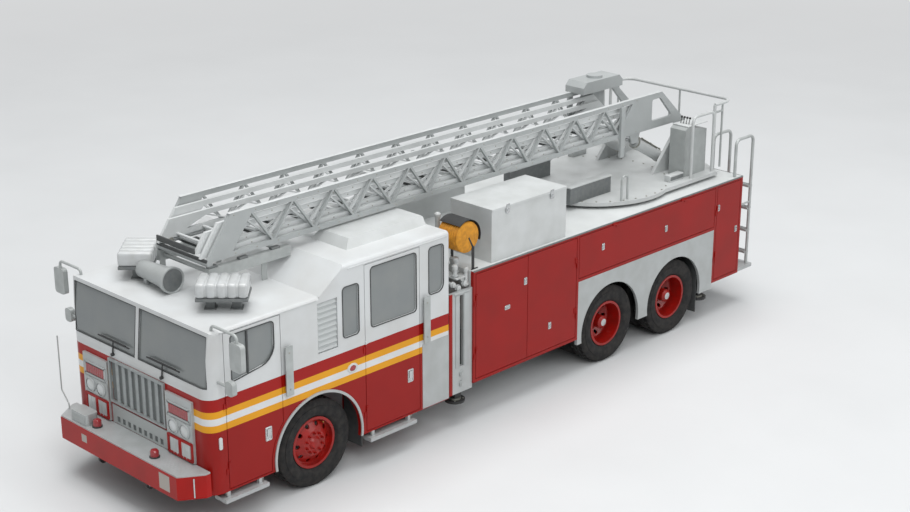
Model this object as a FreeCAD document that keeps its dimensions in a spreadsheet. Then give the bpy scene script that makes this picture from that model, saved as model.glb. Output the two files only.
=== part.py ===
import FreeCAD, Part
import math
import os
from types import SimpleNamespace

import Sketcher

# A custom-cab fire engine with a rear-mounted aerial ladder.
# Millimetres, +Z up, +X the vehicle's left, -Y its front. The origin is on the ground, on the
# centreline, half way along. Lengthwise places are stations, counted back from the bumper's face.

SIZES = {
    # whole vehicle
    "wheel_height": 525, "front_axle_at": 1833, "rear_axle_at": 6867,
    "tandem_spacing": 1360, "running_gap": 0.3, "door_gap": 8, "weld": 1,
    "hinge_radius": 8, "hinge_length": 70, "hinge_leaf": 34,
    # chassis rails
    "rail_outer": 430, "rail_flange": 85, "rail_wall": 9, "rail_bottom": 700, "rail_top": 960,
    "rail_front": 380, "rail_setback": 60, "cross_height": 110, "cross_width": 90,
    "mount_length": 120,
    "horn_drop": 140, "horn_rear": 980,
    "tow_plate": 25, "tow_hole": 26, "tow_eye": 62, "tow_front_at": 115, "tow_front_height": 395,
    "tow_front_root": 200, "tow_front_reach": 300, "tow_setback": 110, "tow_rear_height": 445,
    "tow_rear_run": 260, "tow_rear_reach": 240,
    # engine
    "engine_half_width": 320, "engine_front": 1250, "engine_rear": 2350, "engine_bottom": 620,
    "engine_top": 1140, "engine_foot_inset": 100, "shaft_radius": 50, "shaft_height": 640,
    # front axle, knuckles and springs
    "kingpin_at": 940, "kingpin_radius": 22, "eye_radius": 55, "eye_height": 120, "beam_depth": 100,
    "beam_drop": 95, "beam_width": 90, "beam_bend": 240, "beam_flat": 60,
    "fork_radius": 50, "fork_wall": 33, "fork_gap": 2, "web_wall": 25, "web_gap": 6,
    "front_spindle": 40, "spring_half": 650, "spring_inner": 350, "spring_width": 75,
    "spring_leaf": 80, "spring_rise": 120,
    # wheels
    "front_wheel_at": 1035, "rear_wheel_at": 925, "dual_offset": 165, "rim_radius": 286,
    "rim_lip": 305, "rim_wall": 12, "front_rim_half": 115, "rear_rim_half": 105,
    "tyre_radius": 525, "front_tyre_half": 157, "rear_tyre_half": 140, "tread_inset": 39,
    "front_cap": 150, "front_disc_out": 125, "front_hub": 90, "front_dish": 60, "cap_wall": 32,
    "rear_spindle": 45, "rear_cap": 232, "rear_hub": 110, "disc_wall": 14, "hub_overhang": 20,
    "hand_hole": 26, "hand_hole_circle": 215, "hand_holes": 10, "wheel_reach": 260,
    "axle_tube": 70, "axle_tube_end": 600, "banjo_radius": 190, "banjo_half": 150,
    "bogie_rise": 50, "bogie_depth": 40, "bogie_seat": 100, "bogie_top": 150,
    # cab
    "cab_half": 1250, "cab_wall": 45, "cab_front": 330, "cab_rear": 3870, "cab_bottom": 430,
    "low_roof": 2280, "raised_roof": 2550, "slope_front": 1880, "slope_rear": 2250,
    "cab_corner": 150, "cab_edge": 45, "glass_sill": 1600, "glass_top_back": 70,
    "front_floor": 970, "main_floor": 1150, "floor_wall": 40, "floor_riser": 1190,
    "arch_radius": 620, "arch_lip": 60, "lip_width": 30, "lip_proud": 14,
    "well_inner": 860, "well_wall": 20, "well_step": 790, "well_tread": 220,
    "front_door_front": 560, "front_door_rear": 1330, "front_door_top": 2240,
    "crew_door_front": 2540, "crew_door_rear": 3400, "crew_door_top": 2480, "door_bottom": 450,
    "pane": 10, "pane_inset": 15, "pane_corner": 40,
    "recess_front": 1850, "recess_rear": 2140, "recess_bottom": 1620, "recess_top": 2210,
    "recess_depth": 24, "recess_slats": 9, "slat_wall": 8,
    "kick_front": 3435, "kick_bottom": 440, "kick_top": 1260, "kick_wall": 4,
    "screen_inner": 30, "screen_outer": 1200, "screen_bottom": 1655, "screen_top": 2235,
    "screen_reach": 200,
    # seats and dashboard
    "dash_low": 1330, "dash_high": 1560, "dash_lip": 1430, "dash_brow": 1540, "dash_rear": 700,
    "dash_face": 620, "dash_edge": 30, "dash_gap": 60, "dash_foot_half": 60,
    "hand_wheel_at": 600, "hand_wheel_height": 1500, "hand_wheel_front": 810,
    "hand_wheel_radius": 215, "hand_wheel_wall": 28, "hand_rim": 26, "hand_spoke_inset": 6,
    "column_radius": 25, "column_front": 650,
    "cushion_depth": 110, "seat_toe": 90, "back_height": 620, "back_depth": 110, "seat_edge": 35,
    # bumper and front end
    "bumper_half": 1250, "bumper_face_half": 1080, "bumper_back": 262, "bumper_rear": 322,
    "bumper_bottom": 460, "bumper_top": 720, "bumper_wall": 40, "deck_plate": 20, "deck_inset": 8,
    "siren_lamp_at": 535, "siren_lamp_station": 125, "siren_lamp_radius": 58,
    "siren_lamp_height": 95, "speaker_inner": 610, "speaker_outer": 920, "speaker_front": 30,
    "speaker_rear": 200, "speaker_height": 130, "speaker_edge": 45,
    "grille_half": 510, "grille_bottom": 1000, "grille_top": 1525, "grille_proud": 28,
    "grille_frame": 26, "grille_bars": 7, "grille_bar": 58, "bar_nose": 14,
    "louvre_bottom": 745, "louvre_top": 965, "louvre_proud": 8, "slots": 9, "slot_length": 56,
    "slot_height": 70, "slot_pitch": 100, "slot_low": 22,
    "lamp_panel_inner": 540, "lamp_panel_outer": 1000, "lamp_panel_bottom": 750,
    "lamp_panel_top": 1460, "lamp_panel_proud": 30, "lens_depth": 22, "lens_proud": 8,
    # steps
    "step_inner": 1100, "step_outer": 1300, "step_height": 370, "step_plate": 45, "strap": 40,
    "strap_inset": 60,
    # roof
    "bar_length": 560, "bar_depth": 195, "bar_height": 205, "bar_bevel": 60, "bar_lift": 130,
    "bar_foot": 50, "bar_run": 375, "bar_sweep": 375, "bar_at": 760, "bar_station": 975,
    "siren_at": 40, "siren_station": 850, "siren_length": 560, "siren_radius": 150,
    "siren_rim": 25, "siren_neck": 135, "siren_end": 100,
    "rest_front": 1010, "rest_rear": 2150, "rest_top": 2620, "rest_depth": 120, "rest_inner": 405,
    "rest_outer": 470, "rest_leg": 70, "rest_wall": 12, "rest_leg_rear": 1780,
    "unit_inner": 300, "unit_outer": 900, "unit_front": 2600, "unit_rear": 3850,
    "unit_top": 2655, "unit_bevel": 90, "unit_side_bevel": 60, "unit_rear_bevel": 20,
    # grab bars, mirrors and pipes on the cab
    "grab_width": 100, "grab_proud": 50, "grab_wall": 14, "grab_low": 1285, "grab_high": 1860,
    "grab_foot": 50, "grab_front_at": 1400, "grab_crew_at": 3475,
    "mirror_station": 475, "mirror_at": 1600, "mirror_low": 1950, "mirror_high": 2260,
    "mirror_half": 95, "mirror_depth": 60, "mirror_arm": 16, "mirror_root": 1180,
    "mirror_rise": 80, "mirror_bend": 50, "small_mirror_at": 1470, "small_mirror_low": 1640,
    "small_mirror_high": 1800, "small_mirror_half": 60, "marker_rod": 8, "marker_foot": 1160,
    "marker_head": 1290, "marker_station": 170, "marker_bend_low": 800, "marker_bend_high": 940,
    "marker_top": 1600,
    # body
    "body_half": 1270, "body_front": 4270, "body_bottom": 510, "body_top": 1950,
    "body_wall": 40, "tunnel_half": 640, "tunnel_top": 1290, "locker_inner": 680,
    "well_front": 6200, "well_rear": 9082, "well_top": 1300, "skirt_bottom": 430,
    "rear_bay": 628, "rear_step_depth": 340, "rear_arch": 585,
    "step_panel_inset": 20, "step_panel_wall": 40, "step_panel_bottom": 450,
    "step_panel_top": 1750, "slot_front": 4060, "slot_rear": 4120, "slot_bottom": 790,
    "slot_top": 1700,
    # deck
    "box_inner": 540, "box_outer": 1220, "box_front": 4630, "box_rear": 5980, "box_top": 2620,
    "lid_wall": 30, "lid_proud": 10,
    "drum_inner": 870, "drum_outer": 1200, "drum_station": 4240, "drum_height": 2370,
    "drum_radius": 170, "drum_core": 148, "drum_flange": 8, "drum_axle": 20, "drum_slack": 6,
    "drum_leg": 14, "drum_leg_foot": 90, "drum_leg_head": 40, "pipe_at": 790, "pipe_station": 4150,
    "pipe_radius": 32, "pipe_low": 1850, "pipe_high": 2660,
    # rear step, ladders up to the deck and mudflaps
    "step_top": 570, "step_wall": 50, "climb_inner": 836, "climb_outer": 1216, "climb_top": 2480,
    "climb_reach": 130, "climb_bend": 85, "climb_stay": 1500, "climb_treads": 4,
    "climb_first": 725, "climb_pitch": 330, "tread_depth": 90, "tread_wall": 30,
    "ladder_stand_off": 270, "hand_tube": 22, "stay_radius": 14, "flap_wall": 10, "flap_inner": 900,
    "flap_outer": 1190, "flap_bottom": 250, "flap_top": 1100, "rear_flap_at": 8785,
    "rear_flap_outer": 1225, "rear_flap_bottom": 150,
    # turntable
    "slew_at": 7885, "slew_radius": 1107, "slew_ring": 700, "ring_height": 40, "slew_plate": 50,
    "platform_half": 1050, "platform_corner": 9400, "platform_tail": 700, "platform_rear": 9600,
    "pivot_at": 9330, "pivot_height": 2620, "pivot_pin": 29, "pivot_cover": 40,
    "cheek_inner": 470, "cheek_wall": 50, "cheek_front": 8620, "cheek_rear": 9440,
    "cheek_top_front": 9180, "cheek_edge": 60, "guard_inset": 60, "guard_length": 480,
    "guard_top": 2900, "rear_guard_half": 930, "rear_guard_front": 9430,
    "rear_guard_rear": 9830, "rear_guard_top": 2960, "guard_bend": 160,
    "console_inner": 640, "console_outer": 900, "console_front": 8820, "console_rear": 9300,
    "console_low": 2650, "console_high": 2740, "console_brow": 60, "console_lip": 2700,
    # ladder, from the outer section to the inner one
    "ladder_half": 450, "rail_plate": 40, "ladder_bottom": 2680, "ladder_top": 3170,
    "ladder_tip": 940, "ladder_tip_top": 1290, "tip_step": 30, "ladder_heel": 9410,
    "ladder_heel_top": 8850, "heel_back": 100,
    "section_step": 55, "section_drop": 90, "chord": 60, "brace_gap": 30, "rung_radius": 17,
    "rung_pitch": 356, "first_rung": 250, "last_rung": 500, "bay": 600, "bays": 11,
    "first_bay": 340, "heel_window_front": 8640, "heel_window_rear": 9100,
    "heel_window_top": 8820,
    "heel_window_low": 2790, "heel_window_high": 3090, "heel_window_edge": 30,
    "post_station": 7980, "post_width": 84, "post_proud": 36, "post_low": 2420,
    "post_high": 3110, "tip_bar": 36, "tip_reach": 110, "top_box_inner": -180, "top_box_outer": -510,
    "top_box_front": 7930, "top_box_rear": 8760, "top_box_top": 3330, "top_box_bevel": 70,
    "dome_radius": 110, "dome_height": 35,
    # lift cylinders
    "lift_at": 345, "lift_foot": 9050, "lift_foot_height": 2150, "lift_eye_at": 8300,
    "lift_eye_height": 2580, "barrel_radius": 78, "rod_radius": 44, "barrel_length": 750,
    "barrel_start": 100, "neck_radius": 27, "bore_start": 10, "rod_start": 14, "rod_tuck": 5,
    "eye_width": 60, "eye_ring": 55, "lug_gap": 10, "lug_wall": 25, "foot_pin": 25,
    "foot_lug_foot": 90, "foot_lug_head": 45, "lug_edge": 30, "eye_lug_head": 60,
    "eye_lug_foot": 110, "eye_lug_drop": 40,
    # stabiliser jacks
    "jack_inner": 1080, "jack_outer": 1190, "jack_depth": 110, "jack_bottom": 330,
    "jack_top": 1210, "jack_front_at": 4090, "jack_rear_at": 8945, "jack_tube": 12,
    "jack_slack": 0.5, "jack_foot": 125, "jack_foot_wall": 30, "outrigger_bottom": 730,
    "outrigger_top": 890, "jack_tube_bottom": 480,
}

os.makedirs("parts", exist_ok=True)
doc = FreeCAD.newDocument("FireEngine")
sheet = doc.addObject("Spreadsheet::Sheet", "Dims")
for row, (alias, number) in enumerate(SIZES.items(), start=1):
    sheet.set(f"A{row}", alias)
    sheet.set(f"B{row}", str(number))
    sheet.setAlias(f"B{row}", alias)
doc.recompute()


# ---------------------------------------------------------------- sizes and how objects use them

class Size:
    """A length that keeps its spreadsheet formula beside its number."""

    def __init__(self, number, formula=None):
        self.number = float(number)
        self.formula = formula or repr(float(number))

    def mixed(self, other, sign, number, swap=False):
        left, right = (other.formula, self.formula) if swap else (self.formula, other.formula)
        return Size(number, f"({left} {sign} {right})")

    def __add__(self, other):
        other = size(other)
        return self.mixed(other, "+", self.number + other.number)

    def __sub__(self, other):
        other = size(other)
        return self.mixed(other, "-", self.number - other.number)

    def __mul__(self, other):
        other = size(other)
        return self.mixed(other, "*", self.number * other.number)

    def __truediv__(self, other):
        other = size(other)
        return self.mixed(other, "/", self.number / other.number)

    def __rsub__(self, other):
        other = size(other)
        return self.mixed(other, "-", other.number - self.number, swap=True)

    def __neg__(self):
        return Size(-self.number, f"(-1 * {self.formula})")

    __radd__ = __add__
    __rmul__ = __mul__


def size(thing):
    return thing if isinstance(thing, Size) else Size(thing)


def lean_of(run, rise):
    """The angle away from upright of a line that goes run along and rise up, in degrees."""
    return Size(math.degrees(math.atan2(run.number, rise.number)),
                f"atan2({run.formula}; {rise.formula})")


def span_of(rise, run):
    return Size(math.hypot(rise.number, run.number), f"hypot({rise.formula}; {run.formula})")


d = SimpleNamespace(**{alias: Size(number, f"Dims.{alias}") for alias, number in SIZES.items()})
SIDES = (("left", 1), ("right", -1))


# the rear end follows from the wheel well
d.body_rear = d.well_rear + d.rear_bay
d.overall_length = d.body_rear + d.rear_step_depth
d.rail_rear = d.body_rear - d.rail_setback
d.tow_rear_at = d.body_rear - d.tow_setback
d.tow_rear_root = d.tow_rear_at - d.tow_rear_run


def station(place):
    return size(place) - d.overall_length / 2


def bind(thing, measure, length):
    thing.setExpression(measure, size(length).formula)


def place(thing, x, y, z):
    """Puts an object at x, station y and height z."""
    for name, length in (("x", size(x)), ("y", station(y)), ("z", size(z))):
        bind(thing, f"Placement.Base.{name}", length)
    return thing


# ---------------------------------------------------------------- ways of making a piece

def block(name, x, y, z):
    """A box between low and high limits on each axis."""
    box = doc.addObject("Part::Box", name)
    for measure, (low, high) in (("Length", x), ("Width", y), ("Height", z)):
        bind(box, measure, size(high) - low)
    return place(box, x[0], y[0], z[0])


def rod(name, along, start, radius, length):
    """A cylinder from start, (x, station, z), along +x, +y or +z."""
    turns = {"x": ((0, 1, 0), 90), "y": ((1, 0, 0), -90), "z": ((0, 0, 1), 0)}
    axis, angle = turns[along]
    cylinder = doc.addObject("Part::Cylinder", name)
    bind(cylinder, "Radius", radius)
    bind(cylinder, "Height", length)
    cylinder.Placement.Rotation = FreeCAD.Rotation(FreeCAD.Vector(*axis), angle)
    return place(cylinder, *start)


def hold(sketch, geometry, point, corner):
    """Fixes one point of a sketch by its two measures from the origin."""
    for kind, length in (("DistanceX", size(corner[0])), ("DistanceY", size(corner[1]))):
        index = sketch.addConstraint(Sketcher.Constraint(kind, -1, 1, geometry, point, length.number))
        sketch.setExpression(f"Constraints[{index}]", length.formula)


def draw(sketch, corners, closed=True):
    """Adds an outline to a sketch; a corner is (u, v) or (u, v, radius)."""
    tips = [FreeCAD.Vector(size(c[0]).number, size(c[1]).number, 0) for c in corners]
    enters, leaves, centres = list(tips), list(tips), {}
    for i, corner in enumerate(corners):
        if len(corner) == 2:
            continue
        back = (tips[i - 1] - tips[i]).normalize()
        ahead = (tips[(i + 1) % len(tips)] - tips[i]).normalize()
        half = back.getAngle(ahead) / 2
        radius = size(corner[2]).number
        enters[i] = tips[i] + back * (radius / math.tan(half))
        leaves[i] = tips[i] + ahead * (radius / math.tan(half))
        centres[i] = tips[i] + (back + ahead).normalize() * (radius / math.sin(half))
    lines = [sketch.addGeometry(Part.LineSegment(leaves[i], enters[(i + 1) % len(tips)]), False)
             for i in range(len(tips) if closed else len(tips) - 1)]
    if not closed:
        hold(sketch, lines[0], 1, corners[0])
        hold(sketch, lines[-1], 2, corners[-1])
    for i, corner in enumerate(corners):
        if not closed and i in (0, len(corners) - 1):
            continue
        before, after = lines[i - 1], lines[i]
        if i not in centres:
            sketch.addConstraint(Sketcher.Constraint("Coincident", before, 2, after, 1))
            hold(sketch, after, 1, corner)
            continue
        centre, radius = centres[i], size(corner[2])
        leftward = (tips[i] - enters[i]).cross(leaves[i] - tips[i]).z > 0
        first, last = (enters[i], leaves[i]) if leftward else (leaves[i], enters[i])
        angles = [math.atan2(p.y - centre.y, p.x - centre.x) for p in (first, last)]
        circle = Part.Circle(centre, FreeCAD.Vector(0, 0, 1), radius.number)
        arc = sketch.addGeometry(Part.ArcOfCircle(circle, *angles), False)
        tip = sketch.addGeometry(Part.Point(tips[i]), True)
        hold(sketch, tip, 1, corner)
        sketch.addConstraint(Sketcher.Constraint("PointOnObject", tip, 1, before))
        sketch.addConstraint(Sketcher.Constraint("PointOnObject", tip, 1, after))
        inward, outward = (1, 2) if leftward else (2, 1)
        sketch.addConstraint(Sketcher.Constraint("Tangent", before, 2, arc, inward))
        sketch.addConstraint(Sketcher.Constraint("Tangent", arc, outward, after, 1))
        index = sketch.addConstraint(Sketcher.Constraint("Radius", arc, radius.number))
        sketch.setExpression(f"Constraints[{index}]", radius.formula)


def new_sketch(body, name, plane, offset=0):
    sketch = body.newObject("Sketcher::SketchObject", name)
    support = [feature for feature in body.Origin.OriginFeatures if feature.Role == plane][0]
    sketch.AttachmentSupport = [(support, "")]
    sketch.MapMode = "FlatFace"
    bind(sketch, "AttachmentOffset.Base.z", offset)
    return sketch


def prism(name, view, outline, low, high):
    """A body padded from an outline: side view (station, z) across x, front view (x, z) along the
    vehicle, or plan view (x, station) up z."""
    low, high = size(low), size(high)
    plane, offset = {"side": ("YZ_Plane", low), "front": ("XZ_Plane", -station(high)),
                     "plan": ("XY_Plane", low)}[view]
    if view == "side":
        outline = [(station(c[0]), *c[1:]) for c in outline]
    elif view == "plan":
        outline = [(c[0], station(c[1]), *c[2:]) for c in outline]
    body = doc.addObject("PartDesign::Body", name)
    sketch = new_sketch(body, name + "_outline", plane, offset)
    draw(sketch, outline)
    pad = body.newObject("PartDesign::Pad", name + "_pad")
    pad.Profile = sketch
    bind(pad, "Length", high - low)
    return body


def turned(name, profile, centre, sign=1):
    """A body turned about a line along x; the profile is (distance along, radius)."""
    body = doc.addObject("PartDesign::Body", name)
    sketch = new_sketch(body, name + "_profile", "XY_Plane")
    draw(sketch, profile)
    turn = body.newObject("PartDesign::Revolution", name + "_turn")
    turn.Profile = sketch
    turn.ReferenceAxis = (sketch, ["H_Axis"])
    turn.Angle = 360
    if sign < 0:
        body.Placement.Rotation = FreeCAD.Rotation(FreeCAD.Vector(0, 0, 1), 180)
    return place(body, *centre)


def ring(sketch, u, v, radius):
    """Adds a circle to a sketch."""
    centre = FreeCAD.Vector(size(u).number, size(v).number, 0)
    circle = Part.Circle(centre, FreeCAD.Vector(0, 0, 1), size(radius).number)
    index = sketch.addGeometry(circle, False)
    hold(sketch, index, 3, (u, v))
    held = sketch.addConstraint(Sketcher.Constraint("Radius", index, size(radius).number))
    sketch.setExpression(f"Constraints[{held}]", size(radius).formula)


def tube(name, view, path, across, radius):
    """A bent round tube. Its path is (station, z) in side view at x = across and starts upwards,
    or (x, z) in front view at station = across and starts upwards,
    or (x, station) in plan view at z = across and starts rearwards."""
    body = doc.addObject("PartDesign::Body", name)
    (u, v), across = path[0][:2], size(across)
    if view == "side":
        spine = new_sketch(body, name + "_path", "YZ_Plane", across)
        draw(spine, [(station(c[0]), *c[1:]) for c in path], closed=False)
        end = new_sketch(body, name + "_end", "XY_Plane", v)
        ring(end, across, station(u), radius)
    elif view == "front":
        spine = new_sketch(body, name + "_path", "XZ_Plane", -station(across))
        draw(spine, path, closed=False)
        end = new_sketch(body, name + "_end", "XY_Plane", v)
        ring(end, u, station(across), radius)
    else:
        spine = new_sketch(body, name + "_path", "XY_Plane", across)
        draw(spine, [(c[0], station(c[1]), *c[2:]) for c in path], closed=False)
        end = new_sketch(body, name + "_end", "XZ_Plane", -station(v))
        ring(end, u, across, radius)
    pipe = body.newObject("PartDesign::AdditivePipe", name + "_pipe")
    pipe.Profile = end
    pipe.Spine = spine
    return body


def join(name, pieces):
    fusion = doc.addObject("Part::MultiFuse", name)
    fusion.Shapes = pieces
    fusion.Refine = True
    return fusion


def cut(name, base, *tools):
    removal = doc.addObject("Part::Cut", name)
    removal.Base = base
    removal.Tool = tools[0] if len(tools) == 1 else join(name + "_tools", list(tools))
    return removal


def common(name, *pieces):
    shared = doc.addObject("Part::MultiCommon", name)
    shared.Shapes = list(pieces)
    return shared


def together(name, pieces):
    group = doc.addObject("Part::Compound", name)
    group.Links = pieces
    return group


def mirrored(name, piece):
    """The same piece on the vehicle's other side."""
    other = doc.addObject("Part::Mirroring", name)
    other.Source = piece
    other.Normal = FreeCAD.Vector(1, 0, 0)
    return other


def both(name, piece):
    return [piece, mirrored(name + "_right", piece)]


def hinge(name, along, x, at, height, sign):
    """A butt hinge on a left-hand wall's face: a knuckle and leaf for the body, then for the door.
    along is the pin's direction, z or y; the door lies on the sign side of the pin."""
    pin = d.hinge_radius
    halves = []
    for owner, shift, way in (("fixed", -(d.hinge_length + d.running_gap), -sign), ("door", size(0), sign)):
        if along == "z":
            start = (x, at, height + shift)
            reach = (at, at + d.hinge_leaf) if way > 0 else (at - d.hinge_leaf, at)
            leaf = ((x - pin, x), reach, (height + shift, height + shift + d.hinge_length))
        else:
            start = (x, at + shift, height)
            reach = (height, height + d.hinge_leaf) if way > 0 else (height - d.hinge_leaf, height)
            leaf = ((x - pin, x), (at + shift, at + shift + d.hinge_length), reach)
        knuckle_part = rod(f"{name}_{owner}_knuckle", along, start, pin, d.hinge_length)
        halves.append(join(f"{name}_{owner}", [knuckle_part, block(f"{name}_{owner}_leaf", *leaf)]))
    return halves


nodes = []


def node(piece):
    nodes.append(piece)
    return piece


# ---------------------------------------------------------------- chassis

def rail_section():
    inner = d.rail_outer - d.rail_flange
    return [(d.rail_outer, d.rail_bottom), (d.rail_outer, d.rail_top), (inner, d.rail_top),
            (inner, d.rail_top - d.rail_wall), (d.rail_outer - d.rail_wall, d.rail_top - d.rail_wall),
            (d.rail_outer - d.rail_wall, d.rail_bottom + d.rail_wall),
            (inner, d.rail_bottom + d.rail_wall), (inner, d.rail_bottom)]


def tow_plate(name, at, height, root, reach, top):
    """A plate beside the frame with an eye for a tow hook's pin."""
    eye = rod(name + "_eye", "x", (d.rail_outer, at, height), d.tow_eye, d.tow_plate)
    arm_outline = [(at - d.tow_eye, height), (at + d.tow_eye, height),
                   (root + reach, d.rail_bottom - d.horn_drop / 2), (root + reach, top), (root, top)]
    arm = prism(name + "_arm", "side", arm_outline, d.rail_outer, d.rail_outer + d.tow_plate)
    hole = rod(name + "_hole", "x", (d.rail_outer - d.weld, at, height), d.tow_hole,
               d.tow_plate + 2 * d.weld)
    return cut(name, join(name + "_blank", [arm, eye]), hole)


rail = prism("rail", "front", rail_section(), d.rail_front, d.rail_rear)
horn = block("horn", (d.rail_outer - d.rail_flange, d.rail_outer),
             (d.bumper_wall, d.horn_rear), (d.rail_bottom - d.horn_drop, d.rail_bottom))
tow_front = tow_plate("tow_front", d.tow_front_at, d.tow_front_height, d.tow_front_root,
                      d.tow_front_reach, d.rail_bottom)
tow_rear = tow_plate("tow_rear", d.tow_rear_at, d.tow_rear_height, d.tow_rear_root,
                     d.tow_rear_reach, d.rail_bottom + d.tow_eye)
cross_low = d.rail_bottom + d.rail_wall
cross_members = []
for number, at in enumerate((d.rail_front + d.cross_width, size(2870), d.jack_front_at, size(5800),
                             d.rear_axle_at + d.tandem_spacing / 2, d.jack_rear_at,
                             d.rail_rear - d.cross_width)):
    cross_members.append(block(f"cross_member_{number}",
                               (-(d.rail_outer - d.rail_wall), d.rail_outer - d.rail_wall),
                               (at - d.cross_width / 2, at + d.cross_width / 2),
                               (cross_low, cross_low + d.cross_height)))
# name, front, top of the mount that carries the cab or the body
MOUNTS = (("cab_front_mount", 620, d.front_floor), ("cab_rear_mount", 3620, d.main_floor),
          ("body_mount_1", 4400, d.tunnel_top), ("body_mount_2", 5950, d.tunnel_top),
          ("body_mount_3", 7490, d.tunnel_top), ("body_mount_4", 9250, d.tunnel_top))
mounts = []
for name, front, top in MOUNTS:
    mounts += both(name, block(name, (d.rail_outer - d.rail_flange, d.rail_outer),
                               (size(front), front + d.mount_length), (d.rail_top - d.weld, top)))


def jack_case(name, at):
    """An outrigger arm with the square case that a jack's leg slides in."""
    low, high = d.jack_inner - d.jack_slack, d.jack_outer + d.jack_slack
    front, rear = at - d.jack_depth / 2 - d.jack_slack, at + d.jack_depth / 2 + d.jack_slack
    case = block(name + "_case", (low - d.jack_tube, high + d.jack_tube),
                 (front - d.jack_tube, rear + d.jack_tube), (d.jack_tube_bottom, d.jack_top + d.jack_tube))
    bore = block(name + "_bore", (low, high), (front, rear),
                 (d.jack_tube_bottom - d.weld, d.jack_top + d.jack_slack))
    arm = block(name + "_arm", (d.rail_outer - d.weld, low - d.jack_tube + d.weld), (front, rear),
                (d.outrigger_bottom, d.outrigger_top))
    return join(name, [cut(name + "_tube", case, bore), arm])


jack_cases = [jack_case("front_jack_case", d.jack_front_at), jack_case("rear_jack_case", d.jack_rear_at)]
left_side = join("frame_left", [rail, horn, tow_front, tow_rear, *jack_cases])
node(join("chassis_frame", [*both("frame_left", left_side), *cross_members, *mounts]))

for corner, at in (("front", d.jack_front_at), ("rear", d.jack_rear_at)):
    leg = block(f"{corner}_jack_leg", (d.jack_inner, d.jack_outer),
                (at - d.jack_depth / 2, at + d.jack_depth / 2), (d.jack_bottom, d.jack_top))
    foot = rod(f"{corner}_jack_foot", "z",
               ((d.jack_inner + d.jack_outer) / 2, at, d.jack_bottom - d.jack_foot_wall),
               d.jack_foot, d.jack_foot_wall)
    jack = node(join(f"jack_{corner}_left", [leg, foot]))
    node(mirrored(f"jack_{corner}_right", jack))

engine = block("engine", (-d.engine_half_width, d.engine_half_width), (d.engine_front, d.engine_rear),
               (d.engine_bottom, d.engine_top))
engine_feet = [block(f"engine_foot_{number}", (-(d.rail_outer - d.rail_wall), d.rail_outer - d.rail_wall),
                     (at, at + d.cross_width), (d.rail_bottom + d.rail_wall, d.rail_bottom + d.cross_height))
               for number, at in enumerate((d.engine_front + d.engine_foot_inset,
                                            d.engine_rear - d.engine_foot_inset - d.cross_width))]
shaft = rod("drive_shaft", "y", (0, d.engine_rear + d.running_gap, d.shaft_height), d.shaft_radius,
            d.rear_axle_at - d.engine_rear - d.banjo_radius / 2)
node(join("engine_block", [engine, *engine_feet]))

# ---------------------------------------------------------------- front axle, springs and knuckles

eye_low, eye_high = d.wheel_height - d.eye_height / 2, d.wheel_height + d.eye_height / 2
beam_end = d.beam_depth / 2
beam_high, beam_low = d.wheel_height + beam_end, d.wheel_height - beam_end
bend, flat = d.kingpin_at - d.beam_bend, d.kingpin_at - d.beam_flat
beam_half = [(bend, beam_low - d.beam_drop), (flat, beam_low), (d.kingpin_at, beam_low),
             (d.kingpin_at, beam_high), (flat, beam_high), (bend, beam_high - d.beam_drop)]
beam_outline = beam_half + [(-x, z) for x, z in reversed(beam_half)]
beam = prism("axle_beam", "front", beam_outline, d.front_axle_at - d.beam_width / 2,
             d.front_axle_at + d.beam_width / 2)
eye = rod("kingpin_eye", "z", (d.kingpin_at, d.front_axle_at, eye_low), d.eye_radius, d.eye_height)
eye_bore = rod("kingpin_bore", "z", (d.kingpin_at, d.front_axle_at, eye_low - d.weld),
               d.kingpin_radius + d.running_gap, d.eye_height + 2 * d.weld)
beam_blank = join("axle_blank", [beam, *both("kingpin_eye", eye)])
beam_part = cut("axle_beam_bored", beam_blank, *both("kingpin_bore", eye_bore))


def leaf_spring(name, at, seat, half, rise, top):
    """A bowed pack of leaves with a hanger up to the rail at each end."""
    pad = half / 5
    tip = d.spring_leaf / 3
    outline = [(at - half, seat + rise), (at - pad, seat), (at + pad, seat), (at + half, seat + rise),
               (at + half, seat + rise + tip), (at + pad, seat + d.spring_leaf),
               (at - pad, seat + d.spring_leaf), (at - half, seat + rise + tip)]
    low, high = d.spring_inner, d.spring_inner + d.spring_width
    leaves = prism(name + "_leaves", "side", outline, low, high)
    hangers = [block(f"{name}_hanger_{end}", (low, high), (place_at - tip, place_at + tip),
                     (seat + rise, top))
               for end, place_at in (("front", at - half + tip), ("rear", at + half - tip))]
    return join(name, [leaves, *hangers])


beam_top = d.wheel_height + beam_end - d.beam_drop
spring = leaf_spring("front_spring", d.front_axle_at, beam_top, d.spring_half, d.spring_rise, d.rail_bottom)
node(join("front_axle", [beam_part, *both("front_spring", spring)]))

fork_low, fork_high = eye_low - d.fork_gap - d.fork_wall, eye_high + d.fork_gap + d.fork_wall
web_inner = d.kingpin_at + d.eye_radius + d.web_gap
fork_sides = (d.front_axle_at - d.fork_radius, d.front_axle_at + d.fork_radius)
fork = [block("fork_web", (web_inner, web_inner + d.web_wall), fork_sides, (fork_low, fork_high)),
        rod("kingpin", "z", (d.kingpin_at, d.front_axle_at, fork_low), d.kingpin_radius,
            fork_high - fork_low),
        rod("front_spindle_bar", "x", (web_inner, d.front_axle_at, d.wheel_height), d.front_spindle,
            d.front_wheel_at + d.front_cap - d.cap_wall - d.web_gap - web_inner)]
for end, low in (("top", eye_high + d.fork_gap), ("bottom", fork_low)):
    fork.append(rod(f"fork_{end}_boss", "z", (d.kingpin_at, d.front_axle_at, low), d.fork_radius,
                    d.fork_wall))
    fork.append(block(f"fork_{end}", (d.kingpin_at, web_inner + d.weld), fork_sides,
                      (low, low + d.fork_wall)))
knuckle = node(join("knuckle_left", fork))
node(mirrored("knuckle_right", knuckle))

# ---------------------------------------------------------------- wheels and tyres

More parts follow.
